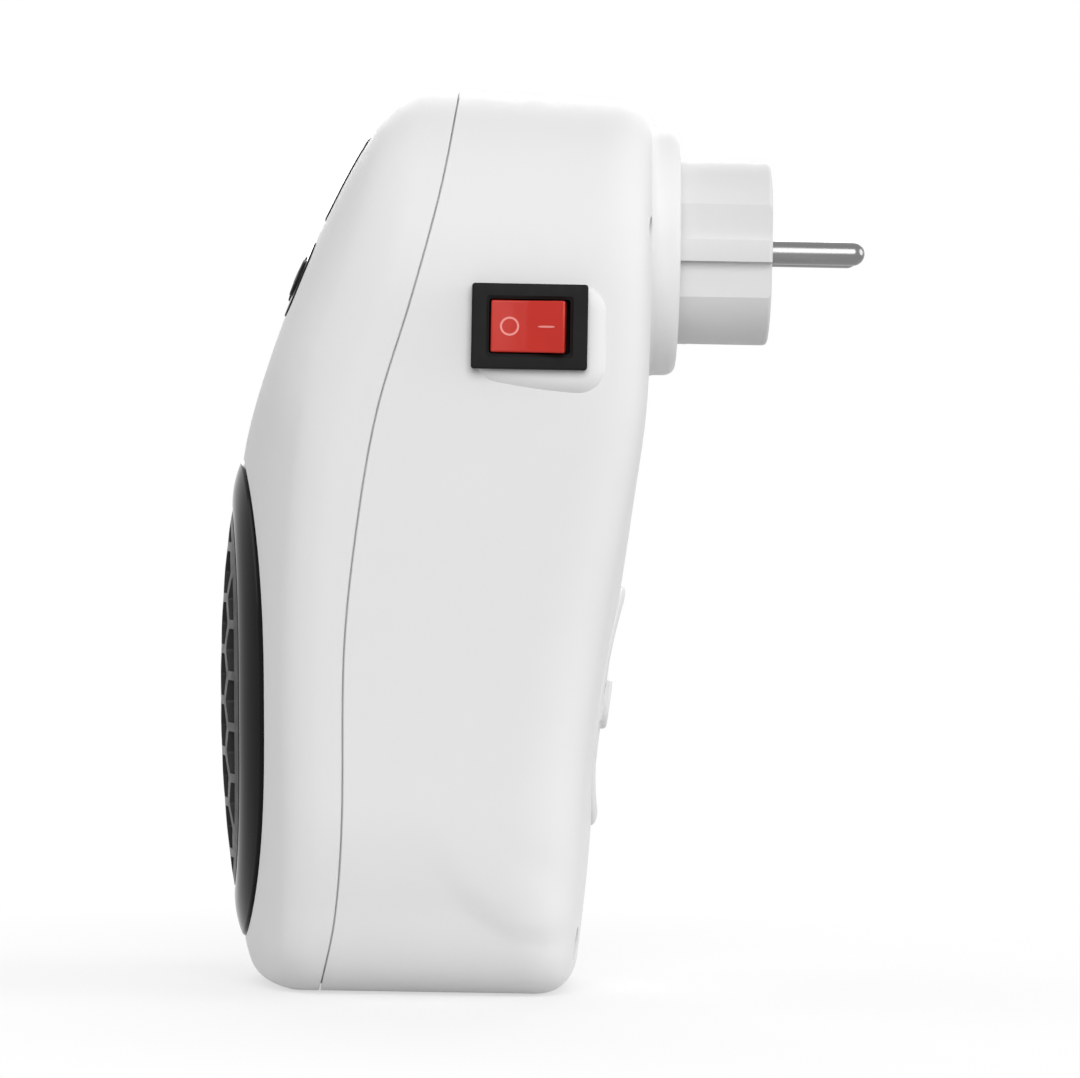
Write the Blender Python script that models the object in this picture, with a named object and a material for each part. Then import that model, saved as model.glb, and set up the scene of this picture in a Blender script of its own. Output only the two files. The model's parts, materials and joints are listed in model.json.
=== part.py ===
"""Fan heater that hangs in a wall socket on its own turning plug. Metres, +Z up.

The origin is the middle of the plug's end face, between the two pins. +Y points at the wall, the
way the pins go in, and the warm air leaves towards -Y. +X is the side that carries the mains switch.
"""

import math
from collections import namedtuple

import bmesh
import bpy
from mathutils import Matrix, Vector

QUARTER = math.pi / 2

# Fits and cuts that many pieces share
SEAT = 0.0003  # gap between pieces that rest on each other
RUN = 0.0004  # clearance round a piece that slides or turns
OVERRUN = 0.001  # how far a cut runs past the face that it opens
SKIM = 0.00005  # how far a cut stays off a face that it runs along
SHARP_ANGLE = math.radians(32)
MM_IN_METRE = 1000

# Housing, seen from the front: an arch over straight sides and a flat bottom
HALF_WIDTH = 0.045
TOP = 0.0318
HEIGHT = 0.1813
ARCH_RISE = 0.045
ARCH_POWER = 2.3
BOTTOM_CORNER = 0.018
SIDE_TAPER = 0.0015
WALL = 0.0022
ARCH_STEPS, SIDE_STEPS, CORNER_STEPS, BOTTOM_STEPS = 7, 3, 3, 2
CORNER_LEFT_share = 0.25  # corner that an inset leaves at least

# Housing, seen from the side: (place down the height, reach) shares of the fullest front and the rear
FRONT_REACH = 0.1072
PLUG_SINK = 0.0055  # from the face of the plug's disc down to the rear face
FACE_shares = (
    (0.0, 0.683),
    (0.065, 0.766),
    (0.167, 0.852),
    (0.303, 0.939),
    (0.422, 0.989),
    (0.682, 1.0),
    (0.945, 0.971),
    (1.0, 0.945),
)
SEAM_shares = (
    (0.0, 0.59),
    (0.115, 0.623),
    (0.236, 0.674),
    (0.359, 0.733),
    (0.482, 0.766),
    (0.619, 0.786),
    (0.813, 0.785),
    (0.917, 0.796),
    (1.0, 0.823),
)
REAR_shares = (
    (0.0, 0.662),
    (0.337, 0.662),
    (0.473, 0.73),
    (0.608, 0.816),
    (0.743, 0.895),
    (0.876, 0.938),
    (1.0, 1.0),
)
FRONT_CROWN = 0.0138  # how far the front face falls back at the full half width
REAR_CROWN = 0.005  # how far the rear face comes forward there, at most
REAR_CROWN_shares = ((0.0, 0.2), (0.35, 0.25), (0.62, 1.0), (1.0, 1.0))
FRONT_EDGE = 0.005  # rounding between the sides and the front face
REAR_SIDE_EDGE = 0.012  # rounding between the sides and the rear face
REAR_END_EDGE = 0.0065  # the same at the top and the bottom
EDGE_DEPTH_share = 1.08  # depth of a rounding against its width
REAR_DRAFT = 0.0012  # how far the rear shell narrows from the seam to the rear
TONGUE = 0.0015  # lip of the rear shell inside the front shell
TONGUE_FACE_share = 0.5  # place in the wall where the lip starts
FRONT_RINGS, REAR_RINGS, INNER_RINGS = 5, 4, 3
EDGE_STEPS, INNER_EDGE_STEPS = 4, 1

# Warm air outlet: an oval dome in the lower front
OUTLET_SIDE = 0.013  # shell beside the outlet
OUTLET_BASE = 0.0089  # shell under it, measured up the front
OUTLET_GAP = 0.0295  # shell between it and the button plate
DOME_RISE = 0.0022  # height of the dome over the shell's own face
DOME_STEP = 0.0005  # height of the dome's edge over the shell
BEZEL_WIDTH = 0.0098
BEZEL_DEPTH = 0.0042
BEZEL_LIP = 0.0022  # flange behind the shell's wall
BEZEL_LIP_GAP = 0.0018  # between that wall and the flange
BEZEL_LIP_THICKNESS = 0.0012
BEZEL_ROUNDING = 0.0008
BEZEL_EDGE_share = 0.3  # how far in and down the rounding has its middle point
BEZEL_CROWN_shares = ((0.35, 0.5), (0.7, 0.4))  # place across the ring, rise against the rounding
GUARD_THICKNESS = 0.0024
GUARD_LIP = 0.0012  # flange of the guard behind the bezel
GUARD_RIM = 0.0011  # wall between the flange and the dome's hollow
GUARD_RING_shares = (0.55,)
CELL_PITCH = 0.0103
CELL_BAR = 0.0018  # bar between two honeycomb cells
CELL_MARGIN = 0.001  # plain edge round the honeycomb
CELL_COLUMNS, CELL_ROWS = 2, 4  # on each side of the middle cell
CELL_SIDES = 6
OVAL_STEPS = 28

# Display and buttons, on the slope over the outlet; across is X, along runs up the slope
PANEL_Z = 0.0025  # height of the panel's middle
PANEL_TILT = math.radians(24)
LENS_WIDTH = 0.031
LENS_LENGTH = 0.0192
PLATE_WIDTH = 0.042
PLATE_LENGTH = 0.0163
PANEL_SPACING = 0.0046  # shell between the lens and the button plate
PANEL_CORNER = 0.005
PANEL_PROUD = 0.0003
PANEL_LIP = 0.0012
PANEL_LIP_THICKNESS = 0.0011
PANEL_LIP_GAP = 0.0012  # between the shell's wall and the flange
PANEL_CORNER_STEPS = 2
PANEL_SPANS = 4
PANEL_RING_shares = (0.34, 0.67)
PROJECTION_ROUNDS = 6
POWER_BUTTON_SIZE = 0.0098
SIDE_BUTTON_WIDTH = 0.0088
SIDE_BUTTON_LENGTH = 0.0078
BUTTON_SPACING = 0.0128
BUTTON_PROUD = 0.0006  # over the plate
BUTTON_CROWN = 0.00012  # further rise of its middle
BUTTON_TRAVEL = 0.0005
BUTTON_FLANGE = 0.0007
BUTTON_FLANGE_THICKNESS = 0.0008
BUTTON_STEM_RADIUS = 0.0015
BUTTON_STEPS = 10
BOARD_GAP = 0.0068  # from the shell's inner face, at the control board's edge, to the board
BOARD_THICKNESS = 0.0016
CONTROL_WIDTH = 0.046
CONTROL_LENGTH = 0.0495
PART_CORNER = 0.0006
PART_CORNER_STEPS = 1
TACT_SIZE = 0.006
TACT_HEIGHT = 0.0034
TACT_PLUNGER_RADIUS = 0.00165
TACT_PLUNGER_HEIGHT = 0.0009
DISPLAY_WIDTH = 0.027
DISPLAY_LENGTH = 0.015
CONTROL_POST_RADIUS = 0.0024

# Turning plug, round the Y axis
PIN_RADIUS = 0.0024
PIN_LENGTH = 0.019
PIN_SPREAD = 0.019
PIN_FIT = 0.0001
PIN_TIP_STEPS = 3
PIN_TIP_share = 0.92  # of a quarter turn, up to the flat on the tip
PLUG_RADIUS = 0.0187
PLUG_LENGTH = 0.019
PLUG_EDGE = 0.0009
FLAT_HALF_WIDTH = 0.0162
FLAT_HALF_HEIGHT = 0.0095
RIB_HALF_HEIGHT = 0.0022
EARTH_OFFSET = 0.01
EARTH_RADIUS = 0.00315
EARTH_DEPTH = 0.0165
EARTH_SLOT = 0.0037
DISC_RADIUS = 0.02225
DISC_THICKNESS = 0.0035
DISC_GAP = 0.0008  # dark ring between the disc and the collar
HUB_RADIUS = 0.0189
PLUG_STEPS = 24
PLUG_EDGE_STEPS = 2

# Collar of the rear shell round the disc
COLLAR_RADIUS = 0.0251
COLLAR_RIM = 0.0003  # how far the rim stands over the disc
COLLAR_ROUNDING = 0.0015
COLLAR_EDGE_STEPS = 2
COLLAR_FILLET = 0.002
# Depths under the rear face at the plug
FLOOR_DEPTH = 0.0016  # inner side of the collar's floor
FLARE_DEPTH = 0.0009  # where the collar's fillet dips under the rear face

# Behind the plug: the ring that keeps it in, and its sliding contacts
RETAINER_RADIUS = 0.0215
RETAINER_THICKNESS = 0.0025
RETAINER_ROOM = 0.003  # recess that frees the shell's wall round the retainer
NOTCHES = 4
NOTCH_WIDTH = 0.006
NOTCH_DEPTH = 0.0016
SLIP_THICKNESS = 0.0008
SLIP_OUTER_INSIDE, SLIP_OUTER_OUTSIDE = 0.0128, 0.0162
SLIP_INNER_INSIDE, SLIP_INNER_OUTSIDE = 0.0028, 0.0062
SLIP_TAB_HALF_WIDTH = 0.0018
SLIP_TAB_share = 0.6  # how far the tab stops short of the pin's middle, in pin radii
SLIP_STEPS = 12
BRIDGE_REACH = 0.003  # past the retainer, on each side
BRIDGE_HEIGHT = 0.008
BRIDGE_Z = -0.016
BRIDGE_THICKNESS = 0.0025
BRIDGE_STEM_HALF_WIDTH = 0.0075
BRIDGE_STEM_TOP = 0.007
BRIDGE_GAP = 0.0052  # from the slip rings to the bridge
BRIDGE_POST_INSET = 0.0033
LEAF_THICKNESS = 0.0004
LEAF_WIDTH = 0.004
LEAF_FOOT = 0.005
LEAF_TOUCH = 0.001  # half the length that touches the ring

# Button that lets the plug turn, on the -X side of the collar
RELEASE_SIDE = 0.0077  # from the button to the housing's full half width
RELEASE_LENGTH = 0.013
RELEASE_Z = -0.0008
RELEASE_FLANGE = 0.001
RELEASE_FLANGE_THICKNESS = 0.0015
RELEASE_ROUNDING = 0.0006
RELEASE_ARC_STEPS = 5
POCKET_LENGTH = 0.0175
POCKET_DEPTH = 0.0019
GUIDE_WALL = 0.0011
GUIDE_ROOT = 0.0017  # inside the wall
GUIDE_STOP = 0.0041  # where the button's flange stops
GUIDE_DEPTH = 0.014
GUIDE_WEB = 0.0014
LATCH_HALF_HEIGHT = 0.002
LATCH_THICKNESS = 0.002
SPRING_RADIUS_share = 0.254  # against the button's width
SPRING_WIRE = 0.00025
SPRING_TURNS = 5
SPRING_TURN_POINTS = 8

# Mains switch on the +X side; its length runs along Y
SWITCH_share = 0.457  # place between the wall and the fullest front
SWITCH_Z = -0.0165
SWITCH_LENGTH = 0.0228
SWITCH_HEIGHT = 0.0168
SWITCH_FLANGE = 0.0019
SWITCH_EDGE = 0.0004
SWITCH_CORNER = 0.0006
SWITCH_CORNER_STEPS = 2
BARREL_LENGTH = 0.0186
BARREL_HEIGHT = 0.0124
BARREL_DEPTH = 0.0155
PAD_RISE = 0.0002  # over the housing's full half width
PAD_CORNER = 0.0024
PAD_CORNER_STEPS = 2
PAD_EDGE_share = 0.3  # how far in and down the rounding has its middle point
PAD_MARGIN = 0.0014
PAD_LEDGE = 0.0012  # how much further the pad reaches below the switch
PAD_EDGE = 0.0009
PAD_DEPTH = 0.0027  # from the pad's face to its root in the wall
WELL_LENGTH = 0.0159
WELL_HEIGHT = 0.0108
WELL_DEPTH = 0.0078
ROCKER_HALF_LENGTH = 0.0073
ROCKER_HEIGHT = 0.0102
ROCKER_PIVOT_DEPTH = 0.0016  # pivot under the pressed half's face
ROCKER_WEB = 0.0055
ROCKER_FOOT_share = 0.97
ROCKER_KEEL_share = 0.45
ROCKER_TILT = math.radians(9.3)
ROCKER_PROUD = 0.0002
TERMINAL_WIDTH = 0.0063
TERMINAL_THICKNESS = 0.0008
TERMINAL_LENGTH = 0.0052
TERMINAL_SPACING = 0.0062

# Rear air inlet: a ring, a middle disc and slots between them
INLET_RADIUS = 0.0247
INLET_RING_WIDTH = 0.0048
INLET_RING_HEIGHT = 0.0013
INLET_DISC_RADIUS = 0.005
INLET_DISC_TOP_share = 0.8
INLET_SLOT = 0.0026
INLET_INNER_SLOTS, INLET_OUTER_SLOTS = 6, 12
INLET_MARGIN = 0.0012
INLET_STEPS, INLET_RING_STEPS = 18, 2

# Housing screws: recessed heads in tubes of the rear shell, bosses in the front shell
UPPER_SCREWS = ((1, 0.16), (-1, 0.319))  # side, and place down the height
UPPER_SCREW_share = 0.3  # of the way from the collar to the full half width
LOWER_SCREW_INSET = 0.0035  # from the heater frame's lower ears, towards the middle
LOWER_SCREW_DROP = 0.0084  # below those ears
SCREW_HOLE_RADIUS = 0.00325
SCREW_TUBE_WALL = 0.0015
SCREW_TUBE_END = 0.0585
SCREW_TUBE_FLOOR = 0.0022
SCREW_HEAD_RADIUS = 0.0027
SCREW_HEAD_HEIGHT = 0.0022
SCREW_RADIUS = 0.0015
SCREW_LENGTH = 0.0135
SCREW_CROWN_share, SCREW_SHOULDER_share, SCREW_TIP_share = 0.6, 0.4, 0.33
FRONT_BOSS_RADIUS = 0.004
ROOT_share = 0.7  # how deep in the wall a post starts
POST_STEPS, HOLE_STEPS = 6, 8
SCREW_STEPS = 6
PIN_STEPS = 12

# Heater behind the outlet
HEATER_CLEARANCE = 0.003  # from the bezel's flange to the heater
HEATER_DEPTH_share = 0.262  # of the depth from the heater's front to the fullest rear
HEATER_SIDE = 0.007  # how much narrower it is than the outlet, on each side
HEATER_HEIGHT_share = 0.6  # against the outlet's height
HEATER_WALL = 0.003
HEATER_LIP = 0.0015
HEATER_LIP_THICKNESS = 0.0015
PTC_MARGIN = 0.004  # how much shallower than its frame the block is
PTC_BARS, PTC_FINS = 3, 6
PTC_BAR = 0.0026
PTC_FIN = 0.001
EAR_RADIUS = 0.0042
EAR_OUTSET = 0.0051  # from the outlet's edge
EAR_ANGLE = math.radians(46.8)
EAR_STEPS = 4
EAR_THICKNESS = 0.003
EAR_HOLE = 0.0016
CUTOFF_RADIUS = 0.0068
CUTOFF_HEIGHT = 0.0075
CUTOFF_CAP_RADIUS = 0.0052
CUTOFF_CAP_HEIGHT = 0.002

# Fan behind the heater
DUCT_GAP = 0.0022  # from the heater frame to the duct
DUCT_LENGTH_share = 0.322  # of the same depth
DUCT_SIDE = 0.0175  # from the duct's bore to the housing's full half width
DUCT_WALL = 0.0018
DUCT_STEPS = 20
MOTOR_STEPS = 12
HUB_STEPS = 14
SPOKES = 4
SPOKE_WIDTH = 0.003
SPOKE_DEPTH = 0.003
CUP_WALL = 0.0017
CUP_LENGTH_share = 0.65  # against the duct
MOTOR_RADIUS = 0.0122
MOTOR_OVERHANG = 0.002  # how far it stands forward of the duct's rear end
MOTOR_BORE = 0.0024  # depth of its shaft bore
MOTOR_LENGTH_share = 1.08  # against the duct
MOTOR_EDGE = 0.0012
MOTOR_BOSS_RADIUS = 0.003
MOTOR_BOSS_HEIGHT = 0.0013
SHAFT_RADIUS = 0.001
SHAFT_FIT = 0.0001
FAN_HUB_RADIUS = 0.0105
FAN_INSET = 0.0022  # from the duct's front to the hub's face
FAN_HUB_LENGTH_share = 0.61  # against the duct
FAN_TIP_GAP = 0.0017
FAN_SKIN = 0.0012
BLADES = 7
BLADE_THICKNESS = 0.0012
BLADE_ROOT_SWEEP = math.radians(38)
BLADE_TIP_SWEEP = math.radians(30)
BLADE_INSET, BLADE_REAR_INSET = 0.0016, 0.0005  # from the hub's ends
BLADE_CHORD_shares = (0.0, 0.5, 1.0)
BLADE_BOW = 6  # bow of the blade's section, in half thicknesses
BLADE_STEPS = 2
BLADE_ROOT_share = 0.9  # where a blade starts inside the hub
FAN_POST_ANGLE = math.radians(45)
FAN_POST_RADIUS = 0.0027
FAN_POST_GAP = 0.0064  # from the duct's bore to the middle of a post
FAN_POSTS = 4
FAN_EAR_RADIUS = 0.0036
FAN_EAR_THICKNESS = 0.003

# Power board over the fan
POWER_GAP = 0.0016  # from the duct up to the board
POWER_WIDTH = 0.049
POWER_HEIGHT = 0.025
POWER_SETBACK = 0.006  # from the duct's rear end back to the board's rear face
POWER_POST_INSET = 0.003
POWER_POST_RADIUS = 0.0026
RELAY_SIZE = (0.019, 0.0155, 0.0155)
RELAY_X = -0.014
CAPACITOR_SIZE = (0.018, 0.0085, 0.0145)
CAPACITOR_X = 0.0125
PART_EDGE = 0.0006

# Places that follow from the sizes above
BOTTOM = TOP - HEIGHT
WAIST = TOP - ARCH_RISE
PLATE_FOOT = PANEL_Z - (PANEL_SPACING / 2 + PLATE_LENGTH) * math.cos(PANEL_TILT)
OUTLET_TOP, OUTLET_BOTTOM = PLATE_FOOT - OUTLET_GAP, BOTTOM + OUTLET_BASE
OUTLET_Z = (OUTLET_TOP + OUTLET_BOTTOM) / 2
OUTLET_HALF_HEIGHT = (OUTLET_TOP - OUTLET_BOTTOM) / 2
OUTLET_HALF_WIDTH = HALF_WIDTH - OUTLET_SIDE
INLET_Z = FAN_Z = OUTLET_Z
PLUG_SEAT = PLUG_LENGTH + PLUG_SINK
REAR_SETBACK = PLUG_SEAT / REAR_shares[0][1]
COLLAR_FLOOR = PLUG_SEAT + FLOOR_DEPTH
COLLAR_FLARE_DEPTH = PLUG_SEAT + FLARE_DEPTH
POCKET_FLOOR = PLUG_SEAT + POCKET_DEPTH
GUIDE_START, GUIDE_CEILING, GUIDE_END = (PLUG_SEAT + d for d in (GUIDE_ROOT, GUIDE_STOP, GUIDE_DEPTH))
SWITCH_Y = -FRONT_REACH * SWITCH_share
PAD_X = HALF_WIDTH + PAD_RISE
BOARD_DEPTH = BOARD_GAP + WALL + FRONT_CROWN * (CONTROL_WIDTH / 2 / HALF_WIDTH) ** 2
BRIDGE_HALF_WIDTH = RETAINER_RADIUS + BRIDGE_REACH
BRIDGE_POST_X = BRIDGE_HALF_WIDTH - BRIDGE_POST_INSET
RELEASE_WIDTH = HALF_WIDTH - COLLAR_RADIUS - RUN - RELEASE_SIDE
HEATER_WIDTH = 2 * (OUTLET_HALF_WIDTH - HEATER_SIDE)
HEATER_HEIGHT = 2 * OUTLET_HALF_HEIGHT * HEATER_HEIGHT_share
EAR_X = (OUTLET_HALF_WIDTH + EAR_OUTSET) * math.cos(EAR_ANGLE)
EAR_RISE = (OUTLET_HALF_HEIGHT + EAR_OUTSET) * math.sin(EAR_ANGLE)
HEATER_CROWN = FRONT_CROWN * ((HEATER_WIDTH / 2 + HEATER_WALL) / HALF_WIDTH) ** 2
HEATER_FRONT = FRONT_REACH - HEATER_CROWN - WALL - BEZEL_LIP_GAP - BEZEL_LIP_THICKNESS - HEATER_CLEARANCE
AIR_DEPTH = HEATER_FRONT - REAR_SETBACK
HEATER_DEPTH = AIR_DEPTH * HEATER_DEPTH_share
PTC_DEPTH = HEATER_DEPTH - PTC_MARGIN
DUCT_LENGTH = AIR_DEPTH * DUCT_LENGTH_share
DUCT_FRONT = HEATER_FRONT - HEATER_DEPTH - DUCT_GAP
DUCT_REAR = DUCT_FRONT - DUCT_LENGTH
DUCT_RADIUS = HALF_WIDTH - DUCT_SIDE
MOTOR_FRONT = DUCT_REAR + MOTOR_OVERHANG
MOTOR_LENGTH = DUCT_LENGTH * MOTOR_LENGTH_share
CUP_LENGTH = DUCT_LENGTH * CUP_LENGTH_share
FAN_HUB_FRONT = DUCT_FRONT - FAN_INSET
FAN_HUB_REAR = FAN_HUB_FRONT - DUCT_LENGTH * FAN_HUB_LENGTH_share
FAN_RADIUS = DUCT_RADIUS - FAN_TIP_GAP
BLADE_FRONT, BLADE_REAR = FAN_HUB_FRONT - BLADE_INSET, FAN_HUB_REAR + BLADE_REAR_INSET
FAN_POST_REACH = DUCT_RADIUS + FAN_POST_GAP
POWER_Z = FAN_Z + DUCT_RADIUS + DUCT_WALL + POWER_GAP + POWER_HEIGHT / 2
POWER_POST_X = POWER_WIDTH / 2 - POWER_POST_INSET
POWER_Y = POWER_SETBACK - DUCT_REAR
Outline = namedtuple("Outline", "half_width top waist bottom corner taper")
HOUSING = Outline(HALF_WIDTH, TOP, WAIST, BOTTOM, BOTTOM_CORNER, SIDE_TAPER)
DISC_FACE = -PLUG_LENGTH
HUB_END = -COLLAR_FLOOR - RUN
RETAINER_REAR = HUB_END - SEAT
RETAINER_FRONT = RETAINER_REAR - RETAINER_THICKNESS
SLIP_REAR = RETAINER_FRONT - SEAT
SLIP_FRONT = SLIP_REAR - SLIP_THICKNESS
BRIDGE_REAR = SLIP_FRONT - BRIDGE_GAP
BRIDGE_FRONT = BRIDGE_REAR - BRIDGE_THICKNESS


# Finishes


def finish(name, colour, roughness, metallic=0.0):
    material = bpy.data.materials.new(name)
    material.use_nodes = True
    shader = material.node_tree.nodes["Principled BSDF"]
    shader.inputs["Base Color"].default_value = (*colour, 1.0)
    shader.inputs["Roughness"].default_value = roughness
    shader.inputs["Metallic"].default_value = metallic
    return material


def make_finishes():
    return {
        "shell": finish("white_shell", (0.83, 0.83, 0.83), 0.38),
        "plug": finish("plug_grey_white", (0.74, 0.74, 0.74), 0.42),
        "gloss_black": finish("gloss_black", (0.012, 0.012, 0.013), 0.12),
        "guard": finish("guard_black", (0.03, 0.03, 0.032), 0.35),
        "lens": finish("smoked_lens", (0.015, 0.015, 0.017), 0.08),
        "matte_black": finish("matte_black", (0.02, 0.02, 0.021), 0.5),
        "red": finish("rocker_red", (0.55, 0.035, 0.025), 0.2),
        "chrome": finish("plated_pin", (0.72, 0.72, 0.71), 0.16, 1.0),
        "steel": finish("steel", (0.5, 0.5, 0.5), 0.35, 1.0),
        "brass": finish("brass", (0.72, 0.5, 0.2), 0.3, 1.0),
        "heater_resin": finish("heater_resin", (0.05, 0.045, 0.04), 0.6),
        "aluminium": finish("fin_aluminium", (0.66, 0.66, 0.66), 0.4, 1.0),
        "board": finish("board_green", (0.02, 0.16, 0.06), 0.45),
        "relay": finish("relay_blue", (0.02, 0.09, 0.4), 0.4),
        "capacitor": finish("capacitor_yellow", (0.75, 0.5, 0.03), 0.4),
        "fan": finish("fan_grey", (0.35, 0.35, 0.36), 0.45),
        "tact": finish("tact_black", (0.03, 0.03, 0.03), 0.4),
    }


# Meshes


def loft(rings, closed=False):
    """Skin over rings of points. A ring of one point is a pole; open ends with more get a flat cap."""
    mesh = bmesh.new()
    rows = [[mesh.verts.new(point) for point in ring] for ring in rings]
    pairs = list(zip(rows, rows[1:]))
    if closed:
        pairs.append((rows[-1], rows[0]))
    for first, second in pairs:
        count = max(len(first), len(second))
        for i in range(count):
            j = (i + 1) % count
            corners = [first[i % len(first)], first[j % len(first)]]
            corners += [second[j % len(second)], second[i % len(second)]]
            mesh.faces.new(list(dict.fromkeys(corners)))
    if not closed:
        for row in (rows[0], rows[-1]):
            if len(row) > 2:
                mesh.faces.new(row)
    bmesh.ops.recalc_face_normals(mesh, faces=mesh.faces)
    return mesh


def solid(name, mesh, material, matrix=None):
    """Object that holds a mesh, shaded smooth but for its sharp edges."""
    data = bpy.data.meshes.new(name)
    mesh.to_mesh(data)
    mesh.free()
    data.materials.append(material)
    data.shade_smooth()
    data.set_sharp_from_angle(angle=SHARP_ANGLE)
    made = bpy.data.objects.new(name, data)
    bpy.context.collection.objects.link(made)
    if matrix:
        made.matrix_world = matrix
    return made


def tool(mesh, matrix=None):
    """Hidden solid for a Boolean."""
    made = solid("tool", mesh, bpy.data.materials[0], matrix)
    made.hide_render = True
    made.display_type = "WIRE"
    return made


def boolean(target, mesh, operation, matrix=None):
    change = target.modifiers.new(operation.lower(), "BOOLEAN")
    change.operation = operation
    change.solver = "EXACT"
    change.object = tool(mesh, matrix)


def cut(target, mesh, matrix=None):
    boolean(target, mesh, "DIFFERENCE", matrix)


def add(target, mesh, matrix=None):
    boolean(target, mesh, "UNION", matrix)


def join(whole, mesh, matrix=None):
    """Moves a mesh into another, turned if asked."""
    if matrix:
        bmesh.ops.transform(mesh, matrix=matrix, verts=mesh.verts)
    data = bpy.data.meshes.new("piece")
    mesh.to_mesh(data)
    mesh.free()
    whole.from_mesh(data)
    bpy.data.meshes.remove(data)


def circle(radius, steps, centre=(0, 0)):
    turns = [math.tau * i / steps for i in range(steps)]
    return [(centre[0] + radius * math.cos(a), centre[1] + radius * math.sin(a)) for a in turns]


def oval(half_width, half_height, steps=OVAL_STEPS):
    turns = [math.tau * i / steps for i in range(steps)]
    return [(half_width * math.cos(a), half_height * math.sin(a)) for a in turns]


def rounded(width, height, radius, steps, centre=(0, 0), spans=1):
    """Points round a rectangle with rounded corners, its ends in a number of spans."""
    points = []
    for corner, (sx, sy) in enumerate(((1, 1), (-1, 1), (-1, -1), (1, -1))):
        for i in range(steps + 1):
            a = QUARTER * (corner + i / steps)
            x = sx * (width / 2 - radius) + radius * math.cos(a)
            y = sy * (height / 2 - radius) + radius * math.sin(a)
            points.append((centre[0] + x, centre[1] + y))
        if corner % 2 == 0:
            x, y = points[-1]
            step = -sx * (width - 2 * radius) / spans
            points += [(x + step * i, y) for i in range(1, spans)]
    return points


def rectangle(low_x, high_x, low_y, high_y):
    return [(low_x, low_y), (high_x, low_y), (high_x, high_y), (low_x, high_y)]


def lifted(points, height, axis):
    """An outline set square to an axis, at a height along it."""
    place = {
        "X": lambda u, v: (height, u, v),
        "Y": lambda u, v: (u, height, v),
        "Z": lambda u, v: (u, v, height),
    }[axis]
    return [Vector(place(u, v)) for u, v in points]


def prism(points, low, high, axis):
    return loft([lifted(points, low, axis), lifted(points, high, axis)])


def box(low, high):
    points = rectangle(low[0], high[0], low[1], high[1])
    return prism(points, low[2], high[2], "Z")


def turned(profile, axis, steps, centre=(0, 0)):
    """Solid turned from (radius, height) pairs, with flat ends."""
    return loft([lifted(circle(r, steps, centre), at, axis) for r, at in profile])


def ring_of(profile, axis, steps, centre=(0, 0)):
    """Ring turned from (radius, height) pairs round its section."""
    return loft([lifted(circle(r, steps, centre), at, axis) for r, at in profile], closed=True)


def arc(radius, steps, start, end):
    """Points on an arc, from a start angle to an end angle."""
    angles = [start + (end - start) * i / steps for i in range(steps + 1)]
    return [(radius * math.cos(a), radius * math.sin(a)) for a in angles]


def bevelled(target, width, segments=2):
    edge = target.modifiers.new("edge", "BEVEL")
    edge.width = width
    edge.segments = segments
    edge.limit_method = "ANGLE"
    return target


# Housing surfaces


def along(shares, place):
    """Value at a place of the smooth curve through (place, value) shares."""
    last = len(shares) - 1
    place = min(max(place, shares[0][0]), shares[last][0])
    at = max(i for i in range(last) if shares[i][0] <= place)

    def slope(i):
        low, high = shares[max(i - 1, 0)], shares[min(i + 1, last)]
        return (high[1] - low[1]) / (high[0] - low[0])

    (start, first), (end, second) = shares[at], shares[at + 1]
    span = end - start
    t = (place - start) / span
    rise = t * t * (3 - 2 * t)
    lead = t * (1 - t) * (1 - t) * span
    trail = t * t * (t - 1) * span
    return first + (second - first) * rise + slope(at) * lead + slope(at + 1) * trail


def level(z):
    return (TOP - z) / HEIGHT


def face_y(x, z):
    return FRONT_CROWN * (x / HALF_WIDTH) ** 2 - FRONT_REACH * along(FACE_shares, level(z))


def seam_y(z):
    return -FRONT_REACH * along(SEAM_shares, level(z))


def rear_y(x, z):
    crown = REAR_CROWN * along(REAR_CROWN_shares, level(z))
    return -REAR_SETBACK * along(REAR_shares, level(z)) - crown * (x / HALF_WIDTH) ** 2


def dome_y(x, z):
    """Front face of the outlet's dome."""
    across = (x / OUTLET_HALF_WIDTH) ** 2
    up = ((z - OUTLET_Z) / OUTLET_HALF_HEIGHT) ** 2
    return face_y(x, z) - DOME_STEP - DOME_RISE * max(0.0, 1 - across - up)


def inset(o, side, top, bottom):
    corner = max(o.corner - max(side, bottom), o.corner * CORNER_LEFT_share)
    return Outline(o.half_width - side, o.top - top, o.waist, o.bottom + bottom, corner, o.taper)


def shrunk(o, share, middle):
    """An outline drawn in towards a middle height."""
    top, waist, bottom = (middle + share * (z - middle) for z in (o.top, o.waist, o.bottom))
    return Outline(o.half_width * share, top, waist, bottom, o.corner * share, o.taper * share)


def outline_points(o):
    """(x, z) points from the top, down the +X side and up the other."""
    half = []
    for i in range(ARCH_STEPS + 1):
        a = QUARTER * i / ARCH_STEPS
        x = o.half_width * math.sin(a) ** (2 / ARCH_POWER)
        half.append((x, o.waist + (o.top - o.waist) * math.cos(a) ** (2 / ARCH_POWER)))
    foot = o.bottom + o.corner
    for i in range(1, SIDE_STEPS + 1):
        t = i / SIDE_STEPS
        half.append((o.half_width - o.taper * t * t, o.waist + (foot - o.waist) * t))
    for i in range(1, CORNER_STEPS + 1):
        a = QUARTER * i / CORNER_STEPS
        x = o.half_width - o.taper - o.corner * (1 - math.cos(a))
        half.append((x, foot - o.corner * math.sin(a)))
    x = half[-1][0]
    for i in range(1, BOTTOM_STEPS + 1):
        half.append((x * (1 - i / BOTTOM_STEPS), o.bottom))
    return half + [(-x, z) for x, z in half[-2:0:-1]]


def on_surface(points, surface):
    return [Vector((x, surface(x, z), z)) for x, z in points]


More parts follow.
